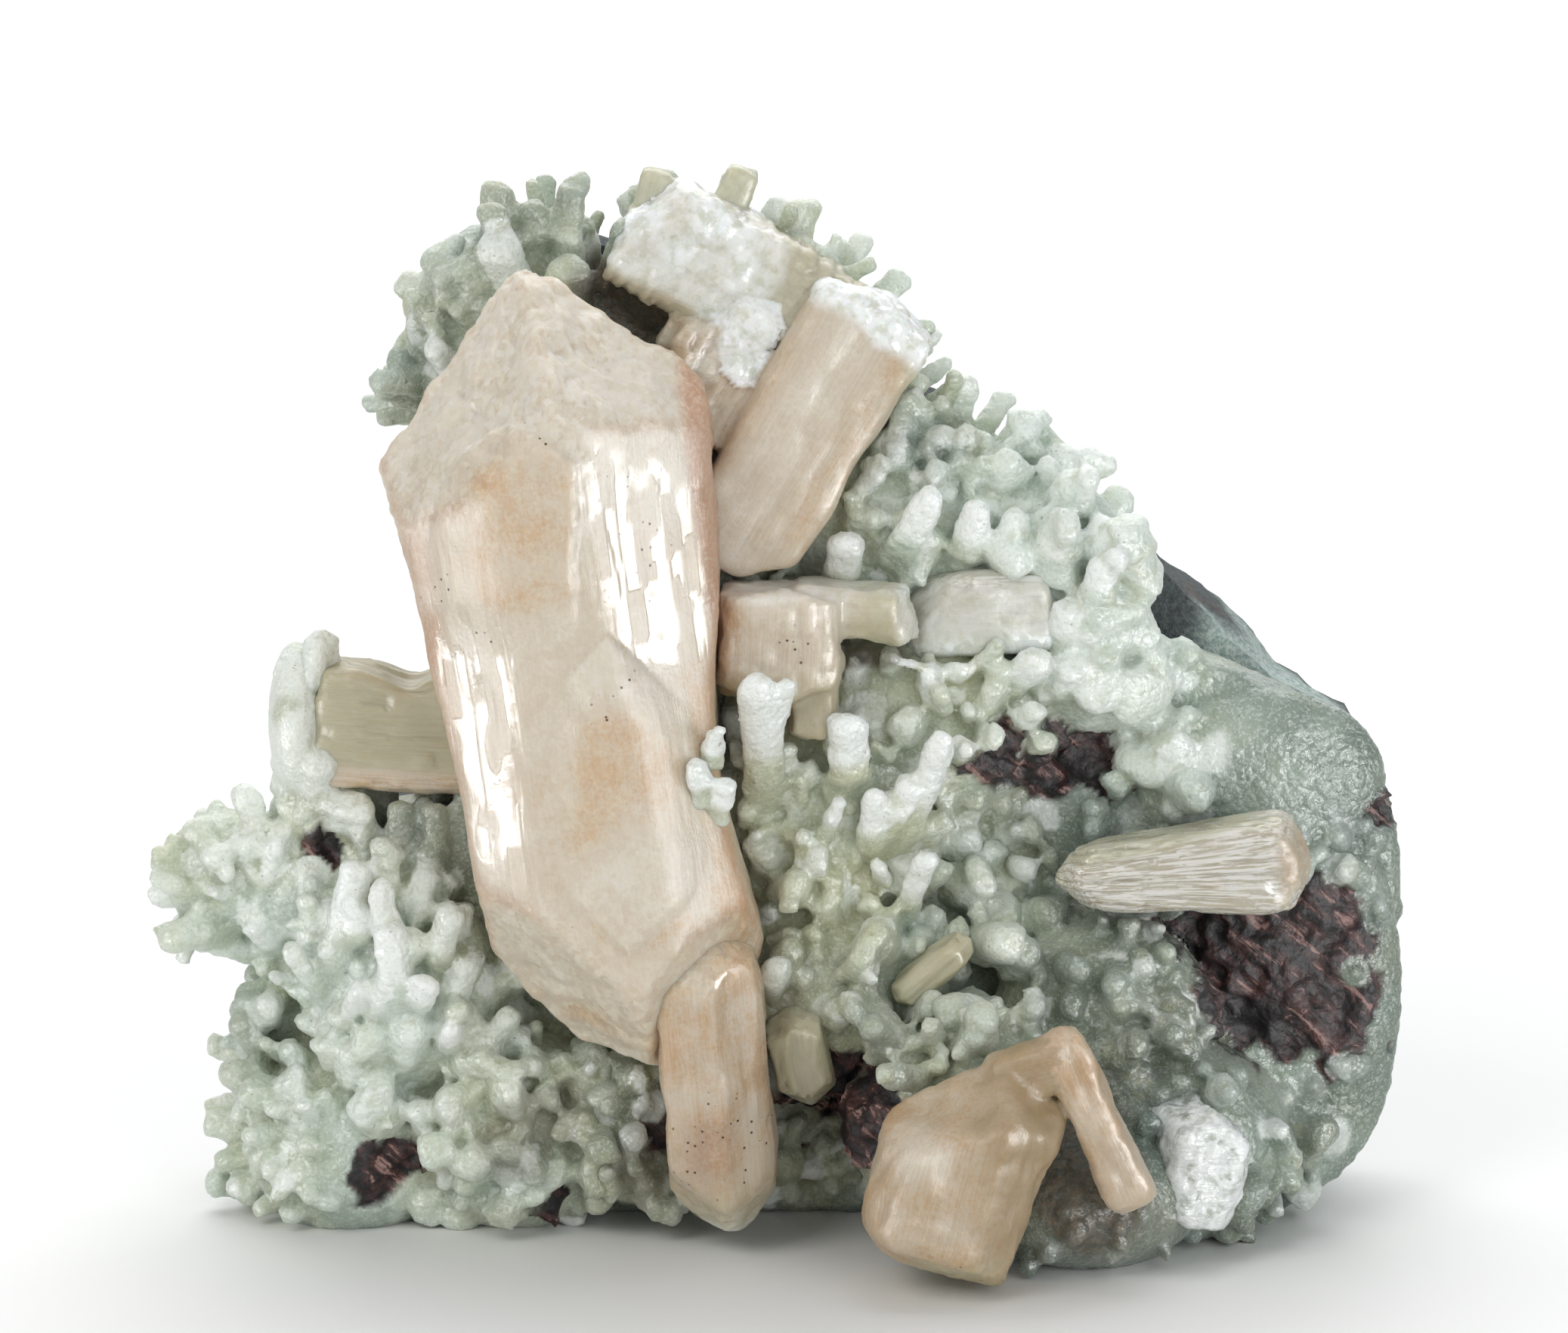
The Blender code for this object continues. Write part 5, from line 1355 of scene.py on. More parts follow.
# Fingers placed one by one: root, tip, radius and how white they are. One with a whiteness of exactly 1
# stands further forward and turns its broad side to the front
fingers = (
    ((-44.1, -6.2, 24.4), (-39.6, -8.0, 37.1), 1.5, 1),
    ((-36.4, -8.4, 28.8), (-33.9, -7.5, 36.2), 1.7, 0.7),
    ((-36.9, -9.2, 22.1), (-36.7, -11.5, 32.0), 1.7, 1),
    ((-35.5, -9.3, 22.9), (-33.4, -12.4, 26.8), 1.3, 1),
    ((-50.7, -2.5, 31.4), (-48.0, -6.1, 38.6), 1.2, 0.9),
    ((-52.1, -3.0, 35.5), (-51.9, -2.5, 39.7), 0.9, 0.6),
    ((-45.4, -3.6, 27.3), (-42.7, -7.7, 32.6), 1.4, 0.9),
    ((-40.8, -7.4, 28.6), (-40.1, -9.0, 33.4), 1.4, 1),
    ((-32.0, -7.4, 18.8), (-31.8, -12.1, 22.1), 1.2, 1),
    ((-40.3, -2.5, 37.6), (-40.0, -5.0, 40.3), 1.0, 0.7),
    ((-47.8, 1.6, 23.1), (-45.1, -6.9, 29.9), 1.3, 0.9),
    ((-42.4, -6.7, 20.1), (-39.6, -12.2, 26.2), 1.4, 0.9),
    ((-35.1, -7.1, 31.0), (-36.6, -7.3, 34.7), 1.3, 0.6),
    ((-1.9, -6.6, 41.8), (-1.2, -16.0, 56.8), 1.8, 1),
    ((-2.3, -6.0, 44.0), (-0.1, -15.6, 56.3), 1.0, 1), ((6.2, -7.5, 43.4), (6.1, -12.2, 52.2), 2.0, 1),
    ((4.8, -6.5, 47.4), (4.2, -11.7, 51.9), 0.9, 1), ((3.6, -7.9, 39.0), (5.0, -11.1, 44.1), 0.9, 1),
    ((8.2, -7.1, 37.2), (8.4, -10.9, 44.9), 1.3, 1), ((9.9, -6.4, 37.1), (16.6, -11.0, 49.8), 1.7, 1),
    ((9.8, -6.7, 39.5), (12.5, -10.0, 45.6), 1.6, 1), ((11.5, -4.1, 30.2), (12.6, -9.5, 38.4), 1.2, 1),
    ((14.2, -6.4, 50.8), (13.9, -9.2, 56.3), 1.2, 0.9),
    ((14.0, -8.4, 55.5), (10.0, -12.8, 57.4), 0.6, 0.9),
    ((11.7, -6.2, 49.2), (11.6, -9.8, 50.8), 1.8, 0.5),
    ((17.6, -6.1, 50.8), (17.5, -9.6, 51.8), 1.0, 0.5),
    ((24.7, -2.4, 47.2), (24.6, -6.5, 48.5), 1.6, 0.4),
    ((18.6, 1.6, 33.5), (18.5, -5.0, 35.5), 1.9, 0.4),
    ((18.9, 1.6, 29.3), (18.9, -5.0, 31.2), 1.0, 0.4),
    ((20.6, -4.8, 53.1), (24.7, -8.6, 56.9), 1.8, 0.9),
    ((1.8, -7.7, 38.7), (1.8, -11.3, 40.4), 0.9, 0.5),
    ((-3.7, -5.4, 37.1), (-2.8, -9.8, 40.1), 0.7, 0.8),
    ((1.6, -7.6, 42.4), (1.8, -10.5, 45.6), 0.8, 0.3),
    ((-1.2, -5.2, 32.3), (0.2, -10.6, 35.8), 1.2, 0.4),
    ((5.8, -1.7, 70.3), (9.3, -4.7, 74.3), 1.1, 0.8), ((5.4, -0.5, 62.1), (6.1, -5.5, 68.2), 1.8, 1),
    ((10.1, -2.0, 64.6), (14.5, -5.4, 72.5), 1.8, 1),
    ((11.6, -1.9, 63.5), (12.9, -6.0, 68.7), 1.4, 0.8),
    ((16.9, -1.7, 64.5), (18.6, -5.0, 71.3), 1.6, 1),
    ((20.9, -3.7, 65.3), (22.0, -6.4, 70.0), 1.5, 0.9),
    ((25.5, -4.3, 63.7), (26.7, -7.1, 69.3), 2.1, 0.9),
    ((29.3, -4.7, 60.8), (30.6, -6.5, 66.2), 1.9, 1), ((1.3, 0.6, 64.6), (1.8, -4.1, 68.8), 0.9, 0.5),
    ((8.1, -0.9, 58.4), (8.8, -4.8, 61.9), 1.2, 0.5),
    ((23.0, -3.0, 53.0), (23.6, -9.0, 56.6), 1.6, 0.9),
    ((26.1, -4.1, 56.7), (27.3, -7.5, 61.3), 1.7, 0.9),
    ((-7.6, -19.5, 45.2), (-8.3, -22.4, 49.6), 1.4, 0.99),
    ((-6.8, -19.2, 48.6), (-6.3, -21.8, 52.1), 1.1, 0.99),
    ((-6.3, -19.0, 42.9), (-5.5, -21.6, 47.4), 1.1, 0.99), ((38, -1, 42), (39, -9, 45), 2.1, 0.3),
    ((33, -2, 22), (33, -11, 24), 1.8, 0.2), ((33, -5, 15), (34, -13, 16), 1.7, 0.2),
    ((38, -3, 15), (39, -11, 20), 1.6, 0.2), ((42, -3, 5), (43, -12, 7), 2.0, 0.1),
    ((50, -2, 8), (52, -8, 10), 2.0, 0.1), ((19, -4, 28), (22, -13, 31), 2.0, 0.5),
    ((12, -5, 22), (14, -14, 24), 1.9, 0.3), ((-32, -3, 17), (-32, -11, 22), 1.9, 0.7),
    ((-30, -3, 14), (-29, -11, 19), 1.9, 0.4), ((-33, -2, 31), (-33, -8, 39), 1.6, 0.2),
    ((-54, 0, 35), (-56, -4, 40), 1.8, 0.4), ((-56, 1, 33), (-59, -3, 35), 1.8, 0.4),
    ((-54, 0, 30), (-58, -5, 29), 1.7, 0.4), ((-46, 0, 37), (-47, -6, 42), 1.8, 0.4),
    ((-49, 0, 11), (-54, -4, 16), 1.7, 0.3), ((-50, 1, 15), (-53, -4, 21), 1.6, 0.3),
    ((-47, 0, 37), (-47, -5, 47), 2.4, 0.8), ((-46, -6, 50), (-44, -7, 58), 1.7, 0.8),
    ((-20, -5, 7), (-17, -11, 5), 1.6, 0.1), ((-16, -5, 8), (-12, -11, 6), 1.5, 0.1),
    ((-25, -4, 4), (-27, -11, 3), 1.7, 0.2), ((-27, 0, 90), (-26, -3, 101), 2.0, 0.2),
    ((-21, 0, 92), (-20, -3, 101), 1.9, 0.2), ((-30, 0, 86), (-33, -4, 95), 1.9, 0.2),
    ((-25, -2, 88), (-26, -8, 97), 1.9, 0.8), ((-22, -1, 86), (-21, -7, 94), 1.8, 0.2),
    ((-34, 0, 80), (-37, -4, 85), 1.8, 0.1), ((-17, 1, 91), (-15, -4, 98), 1.5, 0.1),
    ((-12, 2, 94), (-12, 0, 102), 1.7, 0.0), ((-7, 2, 95), (-5, -1, 102), 1.4, 0.0),
    ((-36.5, -5, 31), (-36.8, -7.2, 42.6), 1.2, 0.2),
    ((-34.6, -4.5, 31), (-34.8, -6.6, 42.8), 1.1, 0.3),
    ((-32.6, -5, 31), (-32.4, -7.4, 42.6), 1.2, 0.3),
    ((-30.4, -4.5, 31), (-30.2, -6.8, 42.8), 1.1, 0.2), ((-28.4, -5, 31), (-28.0, -7, 42.8), 1.2, 0.3),
    ((-38.6, -4, 31), (-39.4, -7, 42.6), 1.3, 0.5), ((-44.5, -4, 44), (-46, -5, 56.5), 2.2, 0.8),
    ((-43.6, -4, 52), (-43.4, -5, 58.6), 1.3, 0.8), ((-45, -3, 40), (-44, -8, 48), 2.4, 0.8),
    ((-42, -3, 38), (-41.5, -8, 43.0), 1.9, 0.8), ((-30.0, -2, 42), (-29.4, -9.5, 47.2), 1.6, 1.0),
    ((-38.8, 1, 38), (-38.6, -1.5, 44.6), 1.7, 0.4),
)

# How the crust grows from place to place: middle (x, z), reach, direction of growth, length and radius of
# its fingers, how white, how warm in colour, and the share of places where one grows
growthZones = (
    ((-14, 89.5), 5, (0.0, -1.0, 0.0), 0.4, 1.2, 0.0, 0.6, 0.05),
    ((28, 9), 6, (0.0, -1.0, 0.0), 0.4, 1.2, 0.0, 0.3, 0.05),
    ((-55, 36), 4, (-0.7, -0.6, 0.4), 3.5, 1.7, 0.5, 0.4, 1.0),
    ((-57, 30), 4, (-0.8, -0.6, 0.0), 3.5, 1.7, 0.5, 0.3, 1.0),
    ((-46, 31), 5, (-0.25, -0.35, 0.9), 5.5, 1.7, 0.8, 0.2, 0.6),
    ((-37, 26), 6, (0.2, -0.3, 0.92), 7.0, 1.9, 0.95, 0.1, 0.5),
    ((-41, 37), 4, (0.0, -0.5, 0.85), 4.5, 1.2, 0.3, 0.8, 0.9),
    ((-31, 39), 4, (0.05, -0.15, 0.97), 8.0, 1.1, 0.1, 0.6, 0.8),
    ((-31, 29), 3.5, (0.0, -0.8, 0.5), 1.5, 1.6, 0.1, 1.0, 0.4),
    ((-48, 16), 5, (-0.5, -0.6, 0.5), 2.4, 1.6, 0.35, 0.4, 1.0),
    ((-39, 14), 6, (-0.1, -0.5, 0.8), 5.0, 1.8, 0.75, 0.3, 0.7),
    ((-30, 14), 6, (0.1, -0.5, 0.8), 5.0, 1.8, 0.7, 0.4, 0.7),
    ((-50, 6), 5, (-0.5, -0.8, 0.2), 1.8, 1.8, 0.5, 0.4, 1.0),
    ((-43, 4), 4, (0.0, -0.9, -0.3), 1.0, 1.5, 0.3, 0.0, 0.3),
    ((-24, 10), 6, (0.0, -0.9, 0.3), 1.6, 1.9, 0.2, 0.7, 1.0),
    ((-26, 3), 6, (0.0, -0.8, -0.2), 2.0, 1.8, 0.35, 0.3, 1.0),
    ((-14, 6), 5, (0.1, -0.9, -0.2), 2.2, 1.7, 0.15, 0.8, 1.0),
    ((0, 28), 4, (0.0, -0.8, 0.5), 4.0, 1.7, 0.3, 1.0, 0.8),
    ((6, 16), 5, (0.1, -0.9, 0.2), 3.0, 1.6, 0.3, 0.9, 0.9),
    ((-7, 45), 4, (-0.3, -0.7, 0.6), 4.0, 1.3, 0.8, 0.6, 0.7),
    ((0, 47), 5, (0.0, -0.5, 0.85), 3.0, 1.2, 0.5, 0.8, 0.45),
    ((9, 47), 6, (0.0, -0.5, 0.85), 3.0, 1.3, 0.5, 0.7, 0.45),
    ((4, 36), 5, (0.0, -0.5, 0.85), 4.0, 1.5, 0.5, 0.8, 0.6),
    ((17, 34), 5, (0.1, -0.6, 0.75), 4.5, 1.8, 0.55, 0.5, 0.9),
    ((15, 25), 5, (0.1, -0.8, 0.5), 4.5, 1.9, 0.35, 0.4, 0.9),
    ((10, 20), 5, (0.1, -0.8, 0.4), 4.0, 1.7, 0.3, 0.5, 0.9),
    ((5, 70), 4, (0.0, -0.7, 0.6), 3.5, 1.6, 0.4, 0.7, 0.8),
    ((11, 68), 4, (0.05, -0.5, 0.85), 3.5, 1.5, 0.5, 0.3, 0.7),
    ((15, 75), 4, (0.3, -0.7, 0.4), 2.5, 1.5, 0.3, 0.1, 0.8),
    ((22, 70), 5, (0.1, -0.5, 0.8), 3.5, 1.9, 0.7, 0.2, 0.7),
    ((24, 78), 5, (0.5, -0.7, 0.4), 2.5, 2.2, 0.45, 0.2, 0.7),
    ((30, 60), 6, (0.2, -0.9, 0.3), 3.0, 3.4, 0.95, 0.1, 0.6),
    ((33, 50), 5, (0.1, -0.9, 0.1), 2.5, 3.4, 0.85, 0.2, 0.6),
    ((24, 52), 5, (0.0, -0.5, 0.85), 4.0, 1.6, 0.6, 0.5, 0.8),
    ((46, 48), 7, (0.2, -1.0, 0.1), 0.6, 2.2, 0.25, 0.0, 0.08),
    ((54, 42), 6, (0.2, -1.0, 0.1), 0.6, 1.6, 0.15, 0.1, 0.06),
    ((51, 34), 4, (0.1, -0.9, 0.2), 2.5, 1.6, 0.25, 0.2, 0.8),
    ((57, 22), 7, (0.3, -1.0, 0.0), 0.6, 1.6, 0.1, 0.1, 0.06),
    ((44, 33), 4, (0.1, -0.9, -0.2), 2.0, 1.5, 0.3, 0.3, 0.6),
    ((22, 40), 4, (0.0, -0.9, 0.2), 4.0, 1.8, 0.35, 0.3, 0.8),
    ((30, 40), 4, (0.2, -0.8, 0.4), 3.0, 1.5, 0.2, 0.1, 0.6),
    ((19, 29), 4, (0.1, -0.8, 0.5), 4.5, 1.8, 0.5, 0.3, 0.8),
    ((30, 27), 5, (0.2, -0.9, 0.2), 2.5, 1.5, 0.2, 0.3, 0.6),
    ((33, 17), 5, (0.2, -0.9, 0.2), 3.5, 1.6, 0.15, 0.3, 0.8),
    ((42, 18), 5, (0.2, -0.7, 0.6), 4.0, 1.6, 0.2, 0.2, 0.7),
    ((50, 10), 6, (0.2, -0.9, 0.1), 2.0, 1.9, 0.2, 0.2, 0.6),
    ((46, 3), 5, (0.1, -0.9, -0.2), 2.5, 1.9, 0.15, 0.2, 0.8),
    ((27, 3), 7, (0.0, -1.0, 0.0), 1.0, 1.5, 0.1, 0.1, 0.4),
    ((-34, 84), 5, (-0.5, -0.5, 0.6), 4.0, 1.5, 0.3, 0.4, 0.9),
    ((-31, 93), 5, (-0.3, -0.4, 0.85), 4.5, 1.6, 0.35, 0.4, 0.9),
    ((-23, 95), 5, (0.0, -0.4, 0.9), 5.0, 1.5, 0.3, 0.5, 0.9),
    ((-17, 93), 4, (0.2, -0.4, 0.85), 4.0, 1.4, 0.3, 0.5, 0.8),
    ((-8, 97), 6, (0.0, -0.4, 0.9), 3.0, 1.4, 0.4, 0.5, 0.8),
    ((11, 88), 5, (0.5, -0.6, 0.3), 2.0, 1.3, 0.5, 0.3, 0.9),
    ((14, 80), 4, (0.5, -0.7, 0.2), 2.0, 1.4, 0.35, 0.4, 0.9),
)
growth = {
    "spacing": 3.2,
    "stray": 0.30,
    "rimSpacing": 2.0,
    "fillerSpacing": 2.2,
    "buds": 0.22,
    "seed": 5592,
}

# Brown oxide patches: middle (x, z), half size and tilt in degrees
oxidePatches = (
    ((24.4, 45.2), (8.6, 5.0), -8), ((46.6, 24.9), (12.0, 7.5), -38), ((52.0, 30.0), (6.0, 4.5), -30),
    ((5.2, 13.8), (6.6, 6.2), 35), ((-37.7, 6.1), (4.6, 2.6), 38), ((-44.5, 37.8), (1.9, 3.2), 15),
    ((-22.5, 2.9), (2.6, 2.0), 0), ((58.5, 40.0), (1.6, 2.2), 0), ((-11.5, 10.8), (2.4, 5.0), 0),
    ((39.5, 36.0), (4.0, 2.0), -10),
)
# Grey-brown hollows and shells, painted darker: partly their own colour, partly painted shade in the
# recesses and under the ledge. Middle (x, z), half size, tilt and strength
shadedHollows = (
    ((-14, 89.5), (6.5, 5.5), -30, 1.0), ((28.0, 9.5), (6.0, 7.5), 20, 0.95),
    ((8.6, 57.0), (3.6, 1.6), 0, 0.7), ((-24, 11), (6.5, 4.0), 30, 0.45),
    ((-13, 9), (4.0, 6.0), 0, 0.5), ((30, 4), (9.0, 4.5), 0, 0.25), ((0.5, 20), (4.5, 6.5), 0, 0.45),
)


def fingerShell(root, tip, radius, rng, facing, lift):
    # A profile carried along a bent line: flattened, lumpy, thickest at the root, with a blunt tip. One
    # that faces the front is smoother and turns its broad side there. The lift bends its foot backwards
    steps, sides = crust["fingerRings"], crust["fingerSides"]
    root, tip = np.array(root, float), np.array(tip, float)
    length = np.linalg.norm(tip - root)
    axis = (tip - root) / length
    helper = np.array((0, 1.0, 0)) if abs(axis[1]) < 0.9 else np.array((0, 0, 1.0))
    across = unit(np.cross(axis, helper))
    second = np.cross(axis, across)
    spin = rng.uniform(0, math.pi) * (0.1 if facing else 1)
    cosine, sine = math.cos(spin), math.sin(spin)
    across, second = cosine * across + sine * second, cosine * second - sine * across
    dome = min(radius * rng.uniform(*((0.8, 1.4) if facing else (0.6, 1.2))), 0.6 * length)
    straight = np.linspace(0, length - dome, steps // 2)
    curved = length - dome + dome * np.sin(
        np.linspace(0, 1, steps - steps // 2 + 1)[1:] * math.pi / 2 * 0.97
    )
    along = np.concatenate([straight, curved])
    into = np.clip((along - length + dome) / dome, 0, 1)
    narrowing = (1 - into**3) ** (1 / 3)
    lumps = 1 + (0.07 if facing else 0.10) * np.sin(
        2 * math.pi * (along / rng.uniform(2.2, 3.6) + rng.random())
    )
    taper = rng.uniform(1.02, 1.15) - rng.uniform(-0.05, 0.25) * along / length
    bend = rng.uniform(-0.13, 0.13) * length * (along / length) ** 2
    turn = np.arange(sides) / sides * 2 * math.pi
    corners = 1 + 0.08 * np.cos(3 * turn + rng.uniform(0, 6)) + 0.07 * np.cos(
        4 * turn + rng.uniform(0, 6)
    )
    wide = radius * (narrowing * lumps * taper)[:, None] * corners[None, :]
    middle = root + along[:, None] * axis + bend[:, None] * across
    middle[:, 1] += lift * (1 - smoothStep(along / length, 0.0, 0.35))
    flat = rng.uniform(0.62, 0.95)
    rings = middle[:, None] + wide[..., None] * (
        np.cos(turn)[None, :, None] * across + flat * np.sin(turn)[None, :, None] * second
    )
    return closedRings(rings)


def frontOf(x, z):
    # Depth of the crust's front at each place: the foremost swelling there
    depth = np.full(len(x), crust["front"])
    for _, (cx, cy, cz), (rx, ry, rz) in swellings:
        inside = 1 - ((x - cx) / rx) ** 2 - ((z - cz) / rz) ** 2
        depth = np.where(inside > 0, np.minimum(depth, cy - ry * np.sqrt(np.maximum(inside, 0))), depth)
    return depth


def zonesAt(x, z):
    # The growth at each place: the zones' values, weighed by how near each zone is for its reach
    weights = np.stack([
        np.exp(-((x - cx) ** 2 + (z - cz) ** 2) / reach**2) + 1e-4 / (1 + np.hypot(x - cx, z - cz)) ** 2
        for (cx, cz), reach, *_ in growthZones
    ], axis=1)
    weights /= weights.sum(axis=1, keepdims=True)
    values = np.array([(*direction, *rest) for _, _, direction, *rest in growthZones])
    return weights @ values


def insideOutline(x, z, outline):
    # A place is inside where a line from it to the right crosses the outline an odd number of times
    corners = np.array(outline, float)
    inside = np.zeros(len(x), bool)
    for (x1, z1), (x2, z2) in zip(corners, np.roll(corners, -1, axis=0)):
        if z1 != z2:
            crosses = ((z1 > z) != (z2 > z)) & (x < (x2 - x1) * (z - z1) / (z2 - z1) + x1)
            inside ^= crosses
    return inside


def alongOutline(outline, count=None, spacing=None):
    # Points at even steps along a closed outline, given how many or how far apart
    corners = np.array(outline, float)
    loop = np.vstack([corners, corners[:1]])
    ends = np.concatenate([[0], np.cumsum(np.linalg.norm(np.diff(loop, axis=0), axis=1))])
    steps = np.arange(count) / count * ends[-1] if count else np.arange(0, ends[-1], spacing)
    return np.stack([np.interp(steps, ends, loop[:, axis]) for axis in range(2)], axis=1)


def pillow(rim, middle, inward, depth):
    # The outline drawn in towards its middle by each share of inward, at the depth that goes with the share
    place = middle + inward[:, None, None] * (rim - middle)
    depth = np.broadcast_to(depth[:, None], place.shape[:2])
    return closedRings(np.stack([place[..., 0], depth, place[..., 1]], axis=-1))


def clearance(points):
    # How far each point is from the nearest crystal, below zero inside it
    nearest = np.full(len(points), 99.0)
    for place, turn, normals, reaches in standing:
        inner = (points - place) @ turn.T
        distance = (inner @ normals.T - reaches) / np.linalg.norm(normals, axis=1)
        nearest = np.minimum(nearest, distance.max(axis=1))
    return nearest


def padAt(x, z):
    # The pad that a root stands on
    if z > 46:
        return "top" if x < 3 or z > 82 else "right"
    if x < -17:
        return "left"
    if x > 8 and z > 34:
        return "right"
    return "corner" if x > 15 else "low"


def scattered(rng, step, depth):
    # Staggered rows of places inside the crust's outline, each moved by chance, at a depth under its front
    x, z = np.meshgrid(np.arange(-64, 66, step), np.arange(1.5, 104, step * 0.87), indexing="ij")
    x = x + 0.5 * step * (np.arange(x.shape[1]) % 2)[None, :]
    x, z = x.ravel(), z.ravel()
    x = x + rng.uniform(-0.4, 0.4, len(x)) * step
    z = z + rng.uniform(-0.4, 0.4, len(z)) * step
    inside = insideOutline(x, z, crustOutline)
    x, z = x[inside], z[inside]
    return np.stack([x, frontOf(x, z) + depth, z], axis=1), zonesAt(x, z)


def rimPlaces(rng):
    # Places along the outline, where fingers grow outwards
    rim = alongOutline(crustOutline, spacing=growth["rimSpacing"])
    way = unit(np.roll(rim, -2, axis=0) - np.roll(rim, 2, axis=0))
    away = np.stack([-way[:, 1], way[:, 0]], axis=1)
    keep = (rim[:, 1] > 1.5) & ((rim[:, 0] < 30) | (rim[:, 1] > 72))
    rim, away = rim[keep], away[keep]
    values = zonesAt(rim[:, 0], rim[:, 1])
    values[:, 0] = 1.1 * away[:, 0] + 0.4 * values[:, 0]
    values[:, 1] = rng.uniform(-0.6, 0.2, len(rim))
    values[:, 2] = 1.1 * away[:, 1] + 0.4 * values[:, 2]
    values[:, 3] = 3.4
    values[:, 4] *= 0.9
    values[:, 7] = 0.8
    inwards = rim - 1.8 * away
    return np.stack([inwards[:, 0], rng.uniform(2.5, 6.0, len(rim)), inwards[:, 1]], axis=1), values


def allFingers():
    # The fingers placed one by one, those scattered over the front and the rim, small ones that fill the
    # gaps between them, and buds on the sides of the longer ones
    grown = []
    for root, tip, radius, white in fingers:
        forward = np.array((0, crust["lift"] * (white == 1), 0))
        grown.append(
            (padAt(root[0], root[2]), root - forward, tip - 0.8 * forward, radius, white, forward[1])
        )
    rng = np.random.default_rng(growth["seed"])
    root, values = scattered(rng, growth["spacing"], crust["shallow"])
    rimRoot, rimValues = rimPlaces(rng)
    fillRoot, fillValues = scattered(rng, growth["fillerSpacing"], crust["rootDepth"])
    fillValues[:, 3] = 1.2 + 0.25 * fillValues[:, 3]
    fillValues[:, 4] = 0.6 + 0.3 * fillValues[:, 4]
    fillValues[:, 5] *= 0.7
    shallow = len(root)
    root, values = np.vstack([root, rimRoot, fillRoot]), np.vstack([values, rimValues, fillValues])
    count = len(root)
    lift = np.where(np.arange(count) < shallow, crust["lift"], 0)
    way = unit(unit(values[:, :3]) + rng.normal(0, growth["stray"], (count, 3)))
    radius = values[:, 4] * rng.uniform(0.65, 1.1, count)
    length = np.where(lift > 0, 1.0, crust["rootDepth"]) + values[:, 3] * rng.uniform(0.7, 1.6, count)
    tip = root + way * length[:, None]
    grows = rng.random(count) < values[:, 7]
    for share in (1.0, 0.6):
        grows &= clearance(root + share * (tip - root)) > 0.6 * radius
    grows &= clearance(root) > -1.5
    grows &= tip[:, 2] > radius * 0.6
    patchy = np.ones(count)
    for middle, half, tilt in oxidePatches:
        patchy = np.minimum(patchy, ellipseField(tip[:, 0], tip[:, 2], middle, half, tilt))
        patchy = np.minimum(patchy, ellipseField(root[:, 0], root[:, 2], middle, half, tilt) + 0.1)
    grows &= patchy > rng.uniform(0.8, 1.0, count)
    white = np.where(
        rng.random(count) < values[:, 5], rng.uniform(0.45, 0.9, count), rng.uniform(0.0, 0.4, count)
    )
    for number in np.flatnonzero(grows):
        home = padAt(root[number, 0], root[number, 2])
        grown.append((home, root[number], tip[number], radius[number], white[number], lift[number]))
    buds = []
    for home, start, end, thick, whiteness, _ in grown:
        start, end = np.array(start, float), np.array(end, float)
        line = end - start
        if rng.random() < growth["buds"] and np.linalg.norm(line) > 4:
            spot = start + rng.uniform(0.55, 0.9) * line
            way = unit(unit(line) + rng.normal(0, 0.7, 3))
            reach = thick * rng.uniform(1.2, 1.8)
            bud = (home, spot, spot + way * reach, thick * rng.uniform(0.55, 0.75), whiteness, 0.0)
            if clearance(bud[2][None])[0] > 0.5:
                buds.append(bud)
    print(len(grown), "fingers grown and", len(buds), "buds")
    return grown + buds


def padSurface(outline):
    # A pillow with a flat front and back and a narrow bevel round its rim
    rim = alongOutline(outline, crust["padPoints"])
    front, back, rows = crust["front"], crust["back"], crust["padRows"]
    inward = np.concatenate([np.linspace(0.1, 0.97, rows), [1.0, 1.0], np.linspace(0.97, 0.1, rows)])
    depth = np.concatenate([np.full(rows, front), [front + 1.0, back - 0.6], np.full(rows, back)])
    return pillow(rim, rim.mean(axis=0), inward, depth)


def ballSurface(centre, radii, rows=18, sides=30):
    # An ellipsoid: sine and cosine of two angles times its radii
    polar = (np.arange(rows) + 0.5) / rows * math.pi - math.pi / 2
    turn = np.arange(sides) / sides * 2 * math.pi
    polar, turn = np.meshgrid(polar, turn, indexing="ij")
    ball = np.stack([np.cos(polar) * np.cos(turn), np.cos(polar) * np.sin(turn), np.sin(polar)], axis=-1)
    return closedRings(ball * radii + np.array(centre, float))


def ellipseField(x, z, middle, half, tilt=0.0):
    # 0 at the middle of a tilted ellipse and 1 on its rim
    turn = math.radians(tilt)
    along = (x - middle[0]) * math.cos(turn) + (z - middle[1]) * math.sin(turn)
    across = (z - middle[1]) * math.cos(turn) - (x - middle[0]) * math.sin(turn)
    return np.hypot(along / half[0], across / half[1])


def onFingers(points, grown):
    # For each point its nearest finger: the share along it, the distance from its line in radii and how
    # white it is. The points are sorted from left to right, and each finger reads only those near it
    order = np.argsort(points[:, 0])
    ordered = points[order]
    best, share, white = (np.full(len(points), value) for value in (9.0, 0.0, 0.0))
    for _, root, tip, radius, whiteness, _ in grown:
        root, tip = np.array(root, float), np.array(tip, float)
        reach = 2 * radius + 1
        ends = (min(root[0], tip[0]) - reach, max(root[0], tip[0]) + reach)
        low, high = np.searchsorted(ordered[:, 0], ends)
        near = ordered[low:high]
        line = tip - root
        part = np.clip((near - root) @ line / (line @ line), 0, 1)
        distance = np.linalg.norm(near - root - part[:, None] * line, axis=1) / radius
        closer = distance < best[low:high]
        for values, found in ((best, distance), (share, part), (white, whiteness)):
            values[low:high] = np.where(closer, found, values[low:high])
    back = np.empty(len(points), int)
    back[order] = np.arange(len(points))
    return share[back], best[back], white[back]


